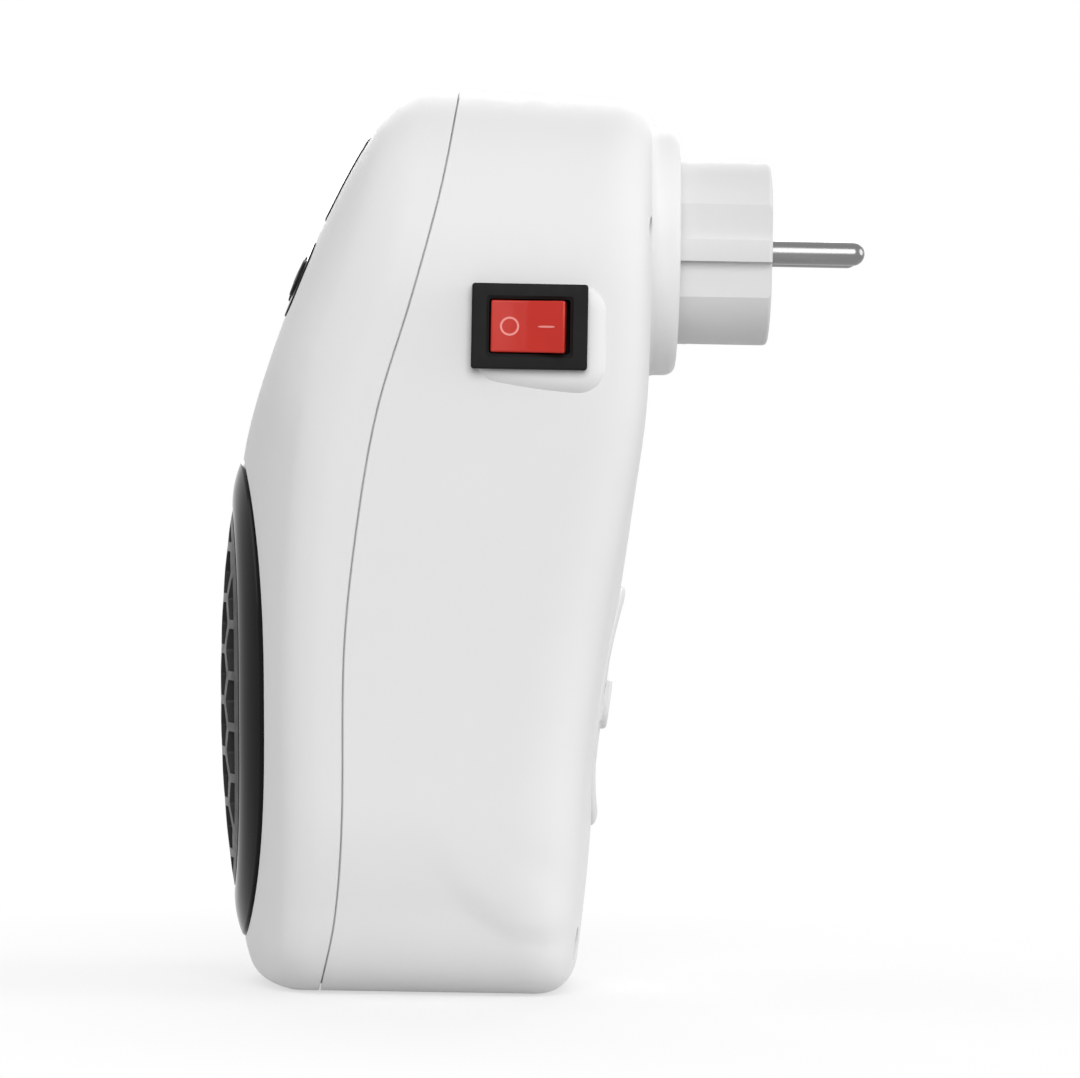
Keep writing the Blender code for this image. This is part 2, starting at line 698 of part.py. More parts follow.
def edge_rings(outer, inner, surface, way, steps):
    """Rings of the rounding from a face, at the inner outline, to a side wall, at the outer one."""
    rings = []
    for i in range(steps + 1):
        t = 1 - i / steps
        ring = []
        for (x0, z0), (x1, z1) in zip(outline_points(outer), outline_points(inner)):
            depth = EDGE_DEPTH_share * math.hypot(x1 - x0, z1 - z0)
            corner = Vector((x0, surface(x0, z0), z0))
            start = corner + Vector((0, way * depth, 0))
            end = Vector((x1, surface(x1, z1), z1))
            ring.append(start.lerp(corner, t).lerp(corner.lerp(end, t), t))
        rings.append(ring)
    return rings


def halfway(first, second):
    return [a.lerp(b, 0.5) for a, b in zip(first, second)]


def shell_skin(outer, inner, surface, way, seam, middle, rings, steps):
    """Rings from the middle of a shell's face, over its edge and down its side to the seam."""
    made = [[Vector((0, surface(0, middle), middle))]]
    for i in range(1, rings):
        points = outline_points(shrunk(inner, i / rings, middle))
        made.append(on_surface(points, surface))
    made += edge_rings(outer, inner, surface, way, steps)
    made.append(halfway(made[-1], seam))
    return made + [seam]


def at_seam(o, shift):
    return [Vector((x, seam_y(z) + shift, z)) for x, z in outline_points(o)]


def post(x, z, radius, end, surface, steps=POST_STEPS):
    """Round post from inside a curved wall to a flat end."""
    points = circle(radius, steps, (x, z))
    middle = [Vector((x, surface(x, z), z))]
    return loft([middle, on_surface(points, surface), lifted(points, end, "Y")])


def in_front_wall(x, z):
    return face_y(x, z) + ROOT_share * WALL


def in_rear_wall(x, z):
    """Depth inside the rear wall, also where its sides and its lower end are rounded."""
    side = HALF_WIDTH - SIDE_TAPER - REAR_DRAFT - abs(x)
    end = z - BOTTOM - REAR_DRAFT
    drops = []
    for near, edge in ((side, REAR_SIDE_EDGE), (end, REAR_END_EDGE)):
        reach = min(max(near / edge, 0), 1)
        drops.append(EDGE_DEPTH_share * edge * (1 - math.sqrt(reach)) ** 2)
    return rear_y(x, z) - max(drops) - ROOT_share * WALL


def screw_places():
    across = COLLAR_RADIUS + UPPER_SCREW_share * (HALF_WIDTH - COLLAR_RADIUS)
    places = [(side * across, TOP - down * HEIGHT) for side, down in UPPER_SCREWS]
    low = OUTLET_Z - EAR_RISE - LOWER_SCREW_DROP
    return places + [(side * (EAR_X - LOWER_SCREW_INSET), low) for side in (1, -1)]


# Panel frame: X across, its own Y up the slope, its own Z out of the face


def panel_matrix():
    origin = Vector((0, face_y(0, PANEL_Z), PANEL_Z))
    up = Vector((0, math.sin(PANEL_TILT), math.cos(PANEL_TILT)))
    out = Vector((0, -math.cos(PANEL_TILT), math.sin(PANEL_TILT)))
    turn = Matrix((Vector((1, 0, 0)), up, out)).transposed()
    return Matrix.Translation(origin) @ turn.to_4x4()


def on_panel(points, lift):
    """Points of the face over (across, along) places, lifted off it, in the panel's frame."""
    frame = panel_matrix()
    made = []
    for u, v in points:
        n = 0.0
        for _ in range(PROJECTION_ROUNDS):
            at = frame @ Vector((u, v, n))
            n += (at.y - face_y(at.x, at.z)) * math.cos(PANEL_TILT)
        made.append(Vector((u, v, n + lift)))
    return made


def lens_middle():
    return PANEL_SPACING / 2 + LENS_LENGTH / 2


def plate_middle():
    return -PANEL_SPACING / 2 - PLATE_LENGTH / 2


def panel_outline(width, length, middle, grow=0.0):
    corner = PANEL_CORNER + grow
    size = (width + 2 * grow, length + 2 * grow)
    return rounded(*size, corner, PANEL_CORNER_STEPS, (0, middle), PANEL_SPANS)


def panel_piece(width, length, middle):
    """Inlay that follows the face, with a flange behind the shell's wall."""

    def ring(grow, lift, share=1.0):
        points = panel_outline(width, length, middle, grow)
        return on_panel([(u * share, middle + (v - middle) * share) for u, v in points], lift)

    back = -WALL - PANEL_LIP_GAP
    deep = back - PANEL_LIP_THICKNESS
    rings = [on_panel([(0, middle)], PANEL_PROUD)]
    rings += [ring(0, PANEL_PROUD, share) for share in PANEL_RING_shares]
    rings += [ring(-PANEL_PROUD, PANEL_PROUD), ring(0, 0), ring(0, back), ring(PANEL_LIP, back)]
    rings.append(ring(PANEL_LIP, deep))
    rings += [ring(0, deep, share) for share in PANEL_RING_shares[::-1]]
    return loft(rings + [on_panel([(0, middle)], deep)])


# Shells


def make_front_shell(looks):
    inner_face = inset(HOUSING, FRONT_EDGE, FRONT_EDGE, FRONT_EDGE)
    lip = TONGUE_FACE_share * WALL
    seam = -SEAT / 2
    floor = seam - TONGUE - SEAT
    middle = OUTLET_Z
    outside = shell_skin(
        HOUSING, inner_face, face_y, 1, at_seam(HOUSING, seam), middle, FRONT_RINGS, EDGE_STEPS
    )
    hollow = inset(HOUSING, WALL, WALL, WALL)
    inside = shell_skin(
        hollow,
        inner_face,
        lambda x, z: face_y(x, z) + WALL,
        1,
        at_seam(hollow, floor),
        middle,
        FRONT_RINGS,
        INNER_EDGE_STEPS,
    )
    rebate = inset(HOUSING, lip, lip, lip)
    rim = [at_seam(rebate, seam), at_seam(rebate, floor)]
    shell = solid("front_shell", loft(outside + rim + inside[::-1]), looks["shell"])
    opening = oval(OUTLET_HALF_WIDTH + SEAT, OUTLET_HALF_HEIGHT + SEAT)
    opening = [(x, OUTLET_Z + z) for x, z in opening]
    cut(shell, prism(opening, -FRONT_REACH - DOME_RISE - OVERRUN, seam_y(OUTLET_Z), "Y"))
    frame = panel_matrix()
    deep = WALL + FRONT_CROWN
    for width, length, middle in (
        (LENS_WIDTH, LENS_LENGTH, lens_middle()),
        (PLATE_WIDTH, PLATE_LENGTH, plate_middle()),
    ):
        points = panel_outline(width, length, middle, SEAT)
        cut(shell, prism(points, -deep, deep, "Z"), frame)
    boss_end = -SCREW_TUBE_END - SEAT
    for x, z in screw_places():
        add(shell, post(x, z, FRONT_BOSS_RADIUS, boss_end, in_front_wall))
        bore = circle(SCREW_RADIUS + SEAT, POST_STEPS, (x, z))
        cut(shell, prism(bore, boss_end - SCREW_LENGTH, boss_end + OVERRUN, "Y"))
    for x, z in ear_places():
        add(shell, post(x, z, EAR_RADIUS - EAR_HOLE, ear_front() - SEAT, in_front_wall))
    for u, v in control_post_places():
        add(shell, control_post(u, v), frame)
    return shell


def ear_places():
    return [(sx * EAR_X, OUTLET_Z + sz * EAR_RISE) for sx in (1, -1) for sz in (1, -1)]


def ear_front():
    return -HEATER_FRONT + HEATER_LIP


def control_post_places():
    across = CONTROL_WIDTH / 2 - CONTROL_POST_RADIUS
    up = CONTROL_LENGTH / 2 - CONTROL_POST_RADIUS
    return [(sx * across, sv * up) for sx in (1, -1) for sv in (1, -1)]


def control_post(u, v):
    """Post square to the panel, from inside the shell's wall to the control board."""
    points = circle(CONTROL_POST_RADIUS, POST_STEPS, (u, v))
    root = -ROOT_share * WALL
    rings = [on_panel([(u, v)], root), on_panel(points, root)]
    return loft(rings + [lifted(points, -BOARD_DEPTH + SEAT, "Z")])


def make_rear_shell(looks):
    outer = inset(HOUSING, REAR_DRAFT, REAR_DRAFT, 0)
    face = inset(outer, REAR_SIDE_EDGE, REAR_END_EDGE, REAR_END_EDGE)
    hollow = inset(outer, WALL, WALL, WALL)
    seam = SEAT / 2
    tip = seam - TONGUE
    middle = INLET_Z
    outside = shell_skin(
        outer, face, rear_y, -1, at_seam(HOUSING, seam), middle, REAR_RINGS, EDGE_STEPS
    )
    inner_seam = inset(HOUSING, WALL, WALL, WALL)
    inside = shell_skin(
        hollow,
        face,
        lambda x, z: rear_y(x, z) - WALL,
        -1,
        at_seam(inner_seam, tip),
        middle,
        INNER_RINGS,
        INNER_EDGE_STEPS,
    )
    lip = TONGUE_FACE_share * WALL + SEAT
    lip_outline = inset(HOUSING, lip, lip, lip)
    rim = [at_seam(lip_outline, seam), at_seam(lip_outline, tip)]
    shell = solid("rear_shell", loft(outside + rim + inside[::-1]), looks["shell"])
    add_inlet(shell)
    add_release_pocket(shell)
    add_collar(shell)
    cut_release_opening(shell)
    add_switch_pad(shell)
    for x, z in screw_places():
        add_screw_tube(shell, x, z)
    for x, z in fan_post_places():
        end = -DUCT_REAR + FAN_EAR_THICKNESS + SEAT
        add(shell, post(x, z, FAN_POST_RADIUS, end, in_rear_wall))
    for side in (1, -1):
        x = side * POWER_POST_X
        add(shell, post(x, POWER_Z, POWER_POST_RADIUS, POWER_Y + SEAT, in_rear_wall))
        x = side * BRIDGE_POST_X
        add(shell, post(x, BRIDGE_Z, FAN_POST_RADIUS, BRIDGE_REAR + SEAT, in_rear_wall))
    return shell


def add_inlet(shell):
    """Raised ring and disc on the curved rear face, and the slots between them."""

    def ring(radius, height):
        points = circle(radius, INLET_STEPS, (0, INLET_Z))
        return on_surface(points, lambda x, z: rear_y(x, z) + height)

    half = INLET_RING_WIDTH / 2
    centre = INLET_RADIUS - half
    root = -ROOT_share * WALL
    sweep = arc(half, INLET_RING_STEPS, 0, math.pi)
    section = [(centre + x, y * INLET_RING_HEIGHT / half) for x, y in sweep]
    rings = [ring(centre + half, root)] + [ring(r, h) for r, h in section]
    add(shell, loft(rings + [ring(centre - half, root)], closed=True))
    disc = [(0, root), (INLET_DISC_RADIUS, root), (INLET_DISC_RADIUS, 0)]
    top = INLET_DISC_RADIUS * INLET_DISC_TOP_share
    disc += [(top, INLET_RING_HEIGHT), (0, INLET_RING_HEIGHT)]
    rings = []
    for radius, height in disc:
        points = circle(radius, HOLE_STEPS, (0, INLET_Z)) if radius else [(0, INLET_Z)]
        rings.append(on_surface(points, lambda x, z, up=height: rear_y(x, z) + up))
    add(shell, loft(rings))
    start = INLET_DISC_RADIUS + INLET_MARGIN
    end = INLET_RADIUS - INLET_RING_WIDTH - INLET_MARGIN
    between = (start + end) / 2
    rows = (
        (start, between - INLET_MARGIN / 2, INLET_INNER_SLOTS),
        (between + INLET_MARGIN / 2, end, INLET_OUTER_SLOTS),
    )
    deep = REAR_SETBACK + REAR_CROWN + WALL
    slots = bmesh.new()
    for low, high, count in rows:
        for i in range(count):
            points = rectangle(low, high, -INLET_SLOT / 2, INLET_SLOT / 2)
            turn = Matrix.Rotation(math.tau * (i + 0.5) / count, 4, "Y")
            join(slots, prism(points, -deep, DISC_FACE, "Y"), turn)
    cut(shell, slots, Matrix.Translation((0, 0, INLET_Z)))


def add_collar(shell):
    """Round collar over a floor with the hub's bore, faired into the rear face."""
    rim = DISC_FACE + COLLAR_RIM
    edge = COLLAR_ROUNDING
    centre = (COLLAR_RADIUS - edge, rim - edge)
    profile = [(centre[0] + x, centre[1] + y) for x, y in arc(edge, COLLAR_EDGE_STEPS, QUARTER, 0)]
    fillet = COLLAR_FILLET
    centre = (COLLAR_RADIUS + fillet, -COLLAR_FLARE_DEPTH + fillet)
    sweep = arc(fillet, COLLAR_EDGE_STEPS, math.pi, math.pi + QUARTER)
    profile += [(centre[0] + x, centre[1] + y) for x, y in sweep]
    profile.append((COLLAR_RADIUS + fillet, -POCKET_FLOOR - 2 * SKIM))
    add(shell, turned(profile, "Y", PLUG_STEPS))
    bore, hub = DISC_RADIUS + DISC_GAP, HUB_RADIUS + RUN
    room = RETAINER_RADIUS + DISC_GAP
    shelf = DISC_FACE - DISC_THICKNESS - SEAT
    under = -COLLAR_FLOOR - RETAINER_ROOM
    well = [(bore + COLLAR_RIM, rim + SKIM), (bore, rim - COLLAR_RIM), (bore, shelf), (hub, shelf)]
    well += [(hub, -COLLAR_FLOOR), (room, -COLLAR_FLOOR), (room, under)]
    cut(shell, turned([(bore + COLLAR_RIM, rim + OVERRUN)] + well, "Y", PLUG_STEPS))


def release_outline(grow, inner_grow):
    """Outline in X and Z of the release button: square outside, hollowed along the collar."""
    inner = COLLAR_RADIUS + inner_grow
    outer = COLLAR_RADIUS + RUN + RELEASE_WIDTH + grow
    half = RELEASE_LENGTH / 2 + grow
    points = [(-outer, RELEASE_Z - half), (-outer, RELEASE_Z + half)]
    low = math.asin((RELEASE_Z - half) / inner)
    high = math.asin((RELEASE_Z + half) / inner)
    return points + [(-x, z) for x, z in arc(inner, RELEASE_ARC_STEPS, high, low)]


def guide_span():
    """Outer X and the Z limits of the release button's guide, inside its walls."""
    outer = -COLLAR_RADIUS - RUN - RELEASE_WIDTH - RUN
    half = RELEASE_LENGTH / 2 + RELEASE_FLANGE + RUN
    return outer, RELEASE_Z - half, RELEASE_Z + half


def add_release_pocket(shell):
    """Recess beside the collar, and the guide of the button inside the shell."""
    outer, low, high = guide_span()
    wall = GUIDE_WALL
    inner = -RETAINER_RADIUS - SEAT - NOTCH_DEPTH
    guide = box((outer - wall, -GUIDE_END, low - wall), (inner, -GUIDE_START, high + wall))
    add(shell, guide)
    floor = -POCKET_FLOOR
    low, high = RELEASE_Z - POCKET_LENGTH / 2, RELEASE_Z + POCKET_LENGTH / 2
    cut(shell, box((-HALF_WIDTH, floor, low), (-HUB_RADIUS, 0, high)))


def cut_release_opening(shell):
    """Opening for the button, room for its flange, and the way for its latch."""
    outer, low, high = guide_span()
    cut(shell, prism(release_outline(RUN, RUN), -GUIDE_END + GUIDE_WEB, 0, "Y"))
    room = box(
        (outer, -GUIDE_END + GUIDE_WEB, low),
        (-RETAINER_RADIUS - SEAT - NOTCH_DEPTH - GUIDE_WALL, -GUIDE_CEILING, high),
    )
    cut(shell, room)
    half = LATCH_HALF_HEIGHT + RUN
    slot = box(
        (outer + GUIDE_WALL, -GUIDE_END + GUIDE_WEB, RELEASE_Z - half),
        (-HUB_RADIUS, -COLLAR_FLOOR - SKIM, RELEASE_Z + half),
    )
    cut(shell, slot)


def pad_outline(grow):
    length = SWITCH_LENGTH + 2 * (PAD_MARGIN + grow)
    height = SWITCH_HEIGHT + 2 * (PAD_MARGIN + grow) + PAD_LEDGE
    centre = (SWITCH_Y, SWITCH_Z - PAD_LEDGE / 2)
    return rounded(length, height, PAD_CORNER, PAD_CORNER_STEPS, centre)


def add_switch_pad(shell):
    """Flat pad that stands out of the curved wall, and the switch's opening."""
    eased = PAD_EDGE * PAD_EDGE_share
    rings = [
        lifted(pad_outline(0), PAD_X - PAD_DEPTH, "X"),
        lifted(pad_outline(0), PAD_X - PAD_EDGE, "X"),
        lifted(pad_outline(-eased), PAD_X - eased, "X"),
        lifted(pad_outline(-PAD_EDGE), PAD_X, "X"),
    ]
    add(shell, loft(rings))
    half_length = BARREL_LENGTH / 2 + SEAT
    half_height = BARREL_HEIGHT / 2 + SEAT
    opening = box(
        (PAD_X - BARREL_DEPTH, SWITCH_Y - half_length, SWITCH_Z - half_height),
        (PAD_X + OVERRUN, SWITCH_Y + half_length, SWITCH_Z + half_height),
    )
    cut(shell, opening)


def add_screw_tube(shell, x, z):
    """Deep tube for a screw, with a floor that its head draws down on."""
    radius = SCREW_HOLE_RADIUS
    add(shell, post(x, z, radius + SCREW_TUBE_WALL, -SCREW_TUBE_END, in_rear_wall, HOLE_STEPS))
    floor = -SCREW_TUBE_END + SCREW_TUBE_FLOOR
    shank = SCREW_RADIUS + SEAT
    profile = [(radius, 0), (radius, floor), (shank, floor), (shank, -SCREW_TUBE_END - OVERRUN)]
    cut(shell, turned(profile, "Y", HOLE_STEPS, (x, z)))


def make_screws(looks):
    """Pan-head screws at the bottom of the tubes."""
    seat = -SCREW_TUBE_END + SCREW_TUBE_FLOOR + SEAT
    top = seat + SCREW_HEAD_HEIGHT
    head, core = SCREW_HEAD_RADIUS, SCREW_RADIUS
    end = seat - SCREW_LENGTH
    shoulder = top - SCREW_HEAD_HEIGHT * SCREW_SHOULDER_share
    profile = [(head * SCREW_CROWN_share, top), (head, shoulder), (head, seat)]
    profile += [(core, seat), (core, end + core), (core * SCREW_TIP_share, end)]
    for number, (x, z) in enumerate(screw_places(), 1):
        name = f"housing_screw_{number}"
        matrix = Matrix.Translation((x, 0, z))
        solid(name, turned(profile, "Y", SCREW_STEPS), looks["steel"], matrix)


# Outlet


def outlet_ring(share_of_width, surface, shift=0.0, grow=0.0):
    """Oval ring at a distance from the outlet's edge, given as a share of the bezel's width."""
    inward = BEZEL_WIDTH * share_of_width - grow
    points = oval(OUTLET_HALF_WIDTH - inward, OUTLET_HALF_HEIGHT - inward)
    points = [(x, OUTLET_Z + z) for x, z in points]
    return on_surface(points, lambda x, z: surface(x, z) + shift)


def make_bezel(looks):
    """Domed ring with a flange behind the shell's wall."""
    lip = WALL + BEZEL_LIP_GAP
    back = lip + BEZEL_LIP_THICKNESS
    edge = BEZEL_ROUNDING
    eased = edge * BEZEL_EDGE_share
    rings = [
        outlet_ring(0, face_y, back, BEZEL_LIP),
        outlet_ring(0, face_y, lip, BEZEL_LIP),
        outlet_ring(0, face_y, lip),
        outlet_ring(0, dome_y, edge),
        outlet_ring(0, dome_y, eased, -eased),
        outlet_ring(0, dome_y, 0, -edge),
    ]
    rings += [outlet_ring(across, dome_y, -edge * rise) for across, rise in BEZEL_CROWN_shares]
    rings += [
        outlet_ring(1, dome_y, 0, edge / 2),
        outlet_ring(1, dome_y, edge / 2),
        outlet_ring(1, dome_y, BEZEL_DEPTH),
    ]
    solid("outlet_bezel", loft(rings, closed=True), looks["gloss_black"])


def make_guard(looks):
    """Domed honeycomb inside the bezel. Cells stand in columns, every other one half a cell lower."""
    fit = -SEAT
    thick = GUARD_THICKNESS
    lip = BEZEL_DEPTH + SEAT
    rings = [[Vector((0, dome_y(0, OUTLET_Z), OUTLET_Z))]]
    inner = (OUTLET_HALF_WIDTH - BEZEL_WIDTH - SEAT, OUTLET_HALF_HEIGHT - BEZEL_WIDTH - SEAT)
    for share in GUARD_RING_shares:
        points = [(x, OUTLET_Z + z) for x, z in oval(inner[0] * share, inner[1] * share)]
        rings.append(on_surface(points, dome_y))
    rings += [
        outlet_ring(1, dome_y, 0, fit),
        outlet_ring(1, dome_y, lip, fit),
        outlet_ring(1, dome_y, lip, GUARD_LIP),
        outlet_ring(1, dome_y, lip + BEZEL_LIP_THICKNESS, GUARD_LIP),
        outlet_ring(1, dome_y, lip + BEZEL_LIP_THICKNESS, fit - GUARD_RIM),
        outlet_ring(1, dome_y, thick, fit - GUARD_RIM),
    ]
    for share in GUARD_RING_shares:
        points = [(x, OUTLET_Z + z) for x, z in oval(inner[0] * share, inner[1] * share)]
        rings.append(on_surface(points, lambda x, z: dome_y(x, z) + thick))
    rings.append([Vector((0, dome_y(0, OUTLET_Z) + thick, OUTLET_Z))])
    guard = solid("outlet_grille", loft(rings), looks["guard"])
    field = tool(honeycomb())
    margin = CELL_MARGIN + GUARD_RIM
    limit = [(x, OUTLET_Z + z) for x, z in oval(inner[0] - margin, inner[1] - margin)]
    boolean(field, prism(limit, -FRONT_REACH - DOME_RISE - 2 * OVERRUN, 0, "Y"), "INTERSECT")
    change = guard.modifiers.new("cells", "BOOLEAN")
    change.solver = "EXACT"
    change.object = field


def honeycomb():
    """Prisms of all the cells, in one mesh."""
    field = bmesh.new()
    across = CELL_PITCH * math.sqrt(3) / 2
    radius = (CELL_PITCH - CELL_BAR) / math.sqrt(3)
    near, far = -FRONT_REACH - DOME_RISE - OVERRUN, -HEATER_FRONT + OVERRUN
    for column in range(-CELL_COLUMNS, CELL_COLUMNS + 1):
        shift = CELL_PITCH / 2 * (column % 2)
        for row in range(-CELL_ROWS, CELL_ROWS + 1):
            centre = (column * across, OUTLET_Z + row * CELL_PITCH + shift)
            join(field, prism(circle(radius, CELL_SIDES, centre), near, far, "Y"))
    return field


# Panel pieces


def button_outlines():
    """Name, outline size and place across the plate of each button."""
    return (
        ("temp_down_button", SIDE_BUTTON_WIDTH, SIDE_BUTTON_LENGTH, -BUTTON_SPACING),
        ("power_button", POWER_BUTTON_SIZE, POWER_BUTTON_SIZE, 0.0),
        ("temp_up_button", SIDE_BUTTON_WIDTH, SIDE_BUTTON_LENGTH, BUTTON_SPACING),
    )


def button_points(width, length, grow=0.0, steps=BUTTON_STEPS):
    return oval(width / 2 + grow, length / 2 + grow, steps)


def make_panel(looks):
    frame = panel_matrix()
    lens = panel_piece(LENS_WIDTH, LENS_LENGTH, lens_middle())
    solid("display_lens", lens, looks["lens"], frame)
    mesh = panel_piece(PLATE_WIDTH, PLATE_LENGTH, plate_middle())
    plate = solid("button_panel", mesh, looks["gloss_black"], frame)
    deep = WALL + FRONT_CROWN
    for _, width, length, u in button_outlines():
        hole = button_points(width, length, SEAT)
        hole = [(u + x, plate_middle() + y) for x, y in hole]
        cut(plate, prism(hole, -deep, deep, "Z"), frame)
    for button in button_outlines():
        make_button(looks, frame, *button)


def make_button(looks, frame, name, width, length, u):
    """Push button: a cap proud of the plate, a flange behind it and a stem towards its switch."""
    v = plate_middle()
    face = on_panel([(u, v)], PANEL_PROUD)[0].z
    origin = Vector((u, v, face))

    def ring(grow, lift):
        points = [(u + x, v + y) for x, y in button_points(width, length, grow)]
        return [point - origin for point in on_panel(points, lift + PANEL_PROUD)]

    under = -WALL - PANEL_LIP_GAP - PANEL_LIP_THICKNESS - SEAT - PANEL_PROUD
    edge = BUTTON_PROUD / 2
    top = [Vector((0, 0, BUTTON_PROUD + BUTTON_CROWN))]
    rings = [top, ring(-edge, BUTTON_PROUD), ring(0, BUTTON_PROUD - edge), ring(0, under)]
    rings += [ring(BUTTON_FLANGE, under), ring(BUTTON_FLANGE, under - BUTTON_FLANGE_THICKNESS)]
    stem_end = -BOARD_DEPTH + SEAT + TACT_HEIGHT + TACT_PLUNGER_HEIGHT - face
    stem_end += BUTTON_TRAVEL + SEAT
    stem = circle(BUTTON_STEM_RADIUS, BUTTON_STEPS)
    root = under - BUTTON_FLANGE_THICKNESS
    stem_root = on_panel([(u + x, v + y) for x, y in stem], root + PANEL_PROUD)
    rings += [[point - origin for point in stem_root], lifted(stem, stem_end, "Z")]
    matrix = frame @ Matrix.Translation(origin)
    return solid(name, loft(rings), looks["matte_black"], matrix)


def make_control_board(looks):
    frame = panel_matrix()
    half = (CONTROL_WIDTH / 2, CONTROL_LENGTH / 2)
    top = -BOARD_DEPTH
    board = box((-half[0], -half[1], top - BOARD_THICKNESS), (half[0], half[1], top))
    solid("control_board", board, looks["board"], frame)
    back = -WALL - PANEL_LIP_GAP - PANEL_LIP_THICKNESS - SEAT
    display = (DISPLAY_WIDTH, DISPLAY_LENGTH, PART_CORNER, PART_CORNER_STEPS)
    display = rounded(*display, (0, lens_middle()))
    room = min(p.z for p in on_panel(display, back)) - SEAT
    solid("display_module", prism(display, top + SEAT, room, "Z"), looks["matte_black"], frame)
    names = {"temp_down_button": "tact_down", "power_button": "tact_power"}
    for name, _, _, u in button_outlines():
        centre = (u, plate_middle())
        square = rounded(TACT_SIZE, TACT_SIZE, PART_CORNER, PART_CORNER_STEPS, centre)
        base = prism(square, top + SEAT, top + SEAT + TACT_HEIGHT, "Z")
        tact = solid(names.get(name, "tact_up"), base, looks["tact"], frame)
        plunger = circle(TACT_PLUNGER_RADIUS, POST_STEPS, centre)
        high = top + SEAT + TACT_HEIGHT + TACT_PLUNGER_HEIGHT
        add(tact, prism(plunger, high - TACT_HEIGHT / 2, high, "Z"), frame)


# Plug


def make_plug(looks):
    """Round plug with side flats and ribs, on a disc and a hub that turn in the collar."""
    r, edge = PLUG_RADIUS, PLUG_EDGE
    profile = [(r - edge + x, y - edge) for x, y in arc(edge, PLUG_EDGE_STEPS, QUARTER, 0)]
    profile += [(r, DISC_FACE), (DISC_RADIUS, DISC_FACE)]
    profile += [(DISC_RADIUS, DISC_FACE - DISC_THICKNESS), (HUB_RADIUS, DISC_FACE - DISC_THICKNESS)]
    profile.append((HUB_RADIUS, HUB_END))
    plug = solid("plug_body", turned(profile, "Y", PLUG_STEPS), looks["plug"])
    floor = DISC_FACE + SKIM
    for sx in (1, -1):
        for sz in (1, -1):
            xs = sorted((sx * FLAT_HALF_WIDTH, sx * (PLUG_RADIUS + OVERRUN)))
            zs = sorted((sz * RIB_HALF_HEIGHT, sz * (FLAT_HALF_HEIGHT + OVERRUN)))
            cut(plug, box((xs[0], floor, zs[0]), (xs[1], OVERRUN, zs[1])))
        cut(plug, prism(keyhole(sx), -EARTH_DEPTH, OVERRUN, "Y"))
        bore = circle(PIN_RADIUS + PIN_FIT, PIN_STEPS, (sx * PIN_SPREAD / 2, 0))
        cut(plug, prism(bore, HUB_END - OVERRUN, OVERRUN, "Y"))


def keyhole(side):
    """Outline of an earth contact's hole, open towards the plug's rim above or below."""
    lean = math.asin(EARTH_SLOT / 2 / EARTH_RADIUS)
    points = arc(EARTH_RADIUS, PIN_STEPS, QUARTER + lean, math.tau + QUARTER - lean)
    reach = PLUG_RADIUS + OVERRUN - EARTH_OFFSET
    points += [(EARTH_SLOT / 2, reach), (-EARTH_SLOT / 2, reach)]
    return [(x, side * (EARTH_OFFSET + z)) for x, z in points]


def make_pins(looks):
    """Pins with round tips, through the plug to the slip rings."""
    tip = PIN_LENGTH - PIN_RADIUS
    profile = [(x, tip + y) for x, y in arc(PIN_RADIUS, PIN_TIP_STEPS, QUARTER * PIN_TIP_share, 0)]
    profile.append((PIN_RADIUS, RETAINER_FRONT))
    for name, side in (("pin_line", 1), ("pin_neutral", -1)):
        matrix = Matrix.Translation((side * PIN_SPREAD / 2, 0, 0))
        solid(name, turned(profile, "Y", PIN_STEPS), looks["chrome"], matrix)


def make_retainer(looks):
    """Ring on the hub's end that keeps the plug in, notched for the latch."""
    plate = prism(circle(RETAINER_RADIUS, PLUG_STEPS), RETAINER_FRONT, RETAINER_REAR, "Y")
    retainer = solid("plug_retainer", plate, looks["plug"])
    for turn in range(NOTCHES):
        half = NOTCH_WIDTH / 2
        notch = box(
            (-RETAINER_RADIUS - OVERRUN, RETAINER_FRONT - OVERRUN, -half),
            (-RETAINER_RADIUS + NOTCH_DEPTH, RETAINER_REAR + OVERRUN, half),
        )
        cut(retainer, notch, Matrix.Rotation(turn * math.tau / NOTCHES, 4, "Y"))
    for side in (1, -1):
        hole = circle(PIN_RADIUS + PIN_FIT, PIN_STEPS, (side * PIN_SPREAD / 2, 0))
        cut(retainer, prism(hole, RETAINER_FRONT - OVERRUN, RETAINER_REAR + OVERRUN, "Y"))


def make_slip_rings(looks):
    """Brass rings in front of the retainer, each with a tab over one pin's end."""
    rings = (
        ("slip_ring_outer", SLIP_OUTER_INSIDE, SLIP_OUTER_OUTSIDE, 1),
        ("slip_ring_inner", SLIP_INNER_INSIDE, SLIP_INNER_OUTSIDE, -1),
    )
    for name, low, high, side in rings:
        profile = [(low, SLIP_REAR), (high, SLIP_REAR), (high, SLIP_FRONT), (low, SLIP_FRONT)]
        ring = solid(name, ring_of(profile, "Y", SLIP_STEPS), looks["brass"])
        pin = side * PIN_SPREAD / 2
        edge = side * (low + high) / 2
        reach = pin - PIN_RADIUS * SLIP_TAB_share
        xs = sorted((edge, reach))
        half = SLIP_TAB_HALF_WIDTH
        add(ring, box((xs[0], SLIP_FRONT, -half), (xs[1], SLIP_REAR, half)))


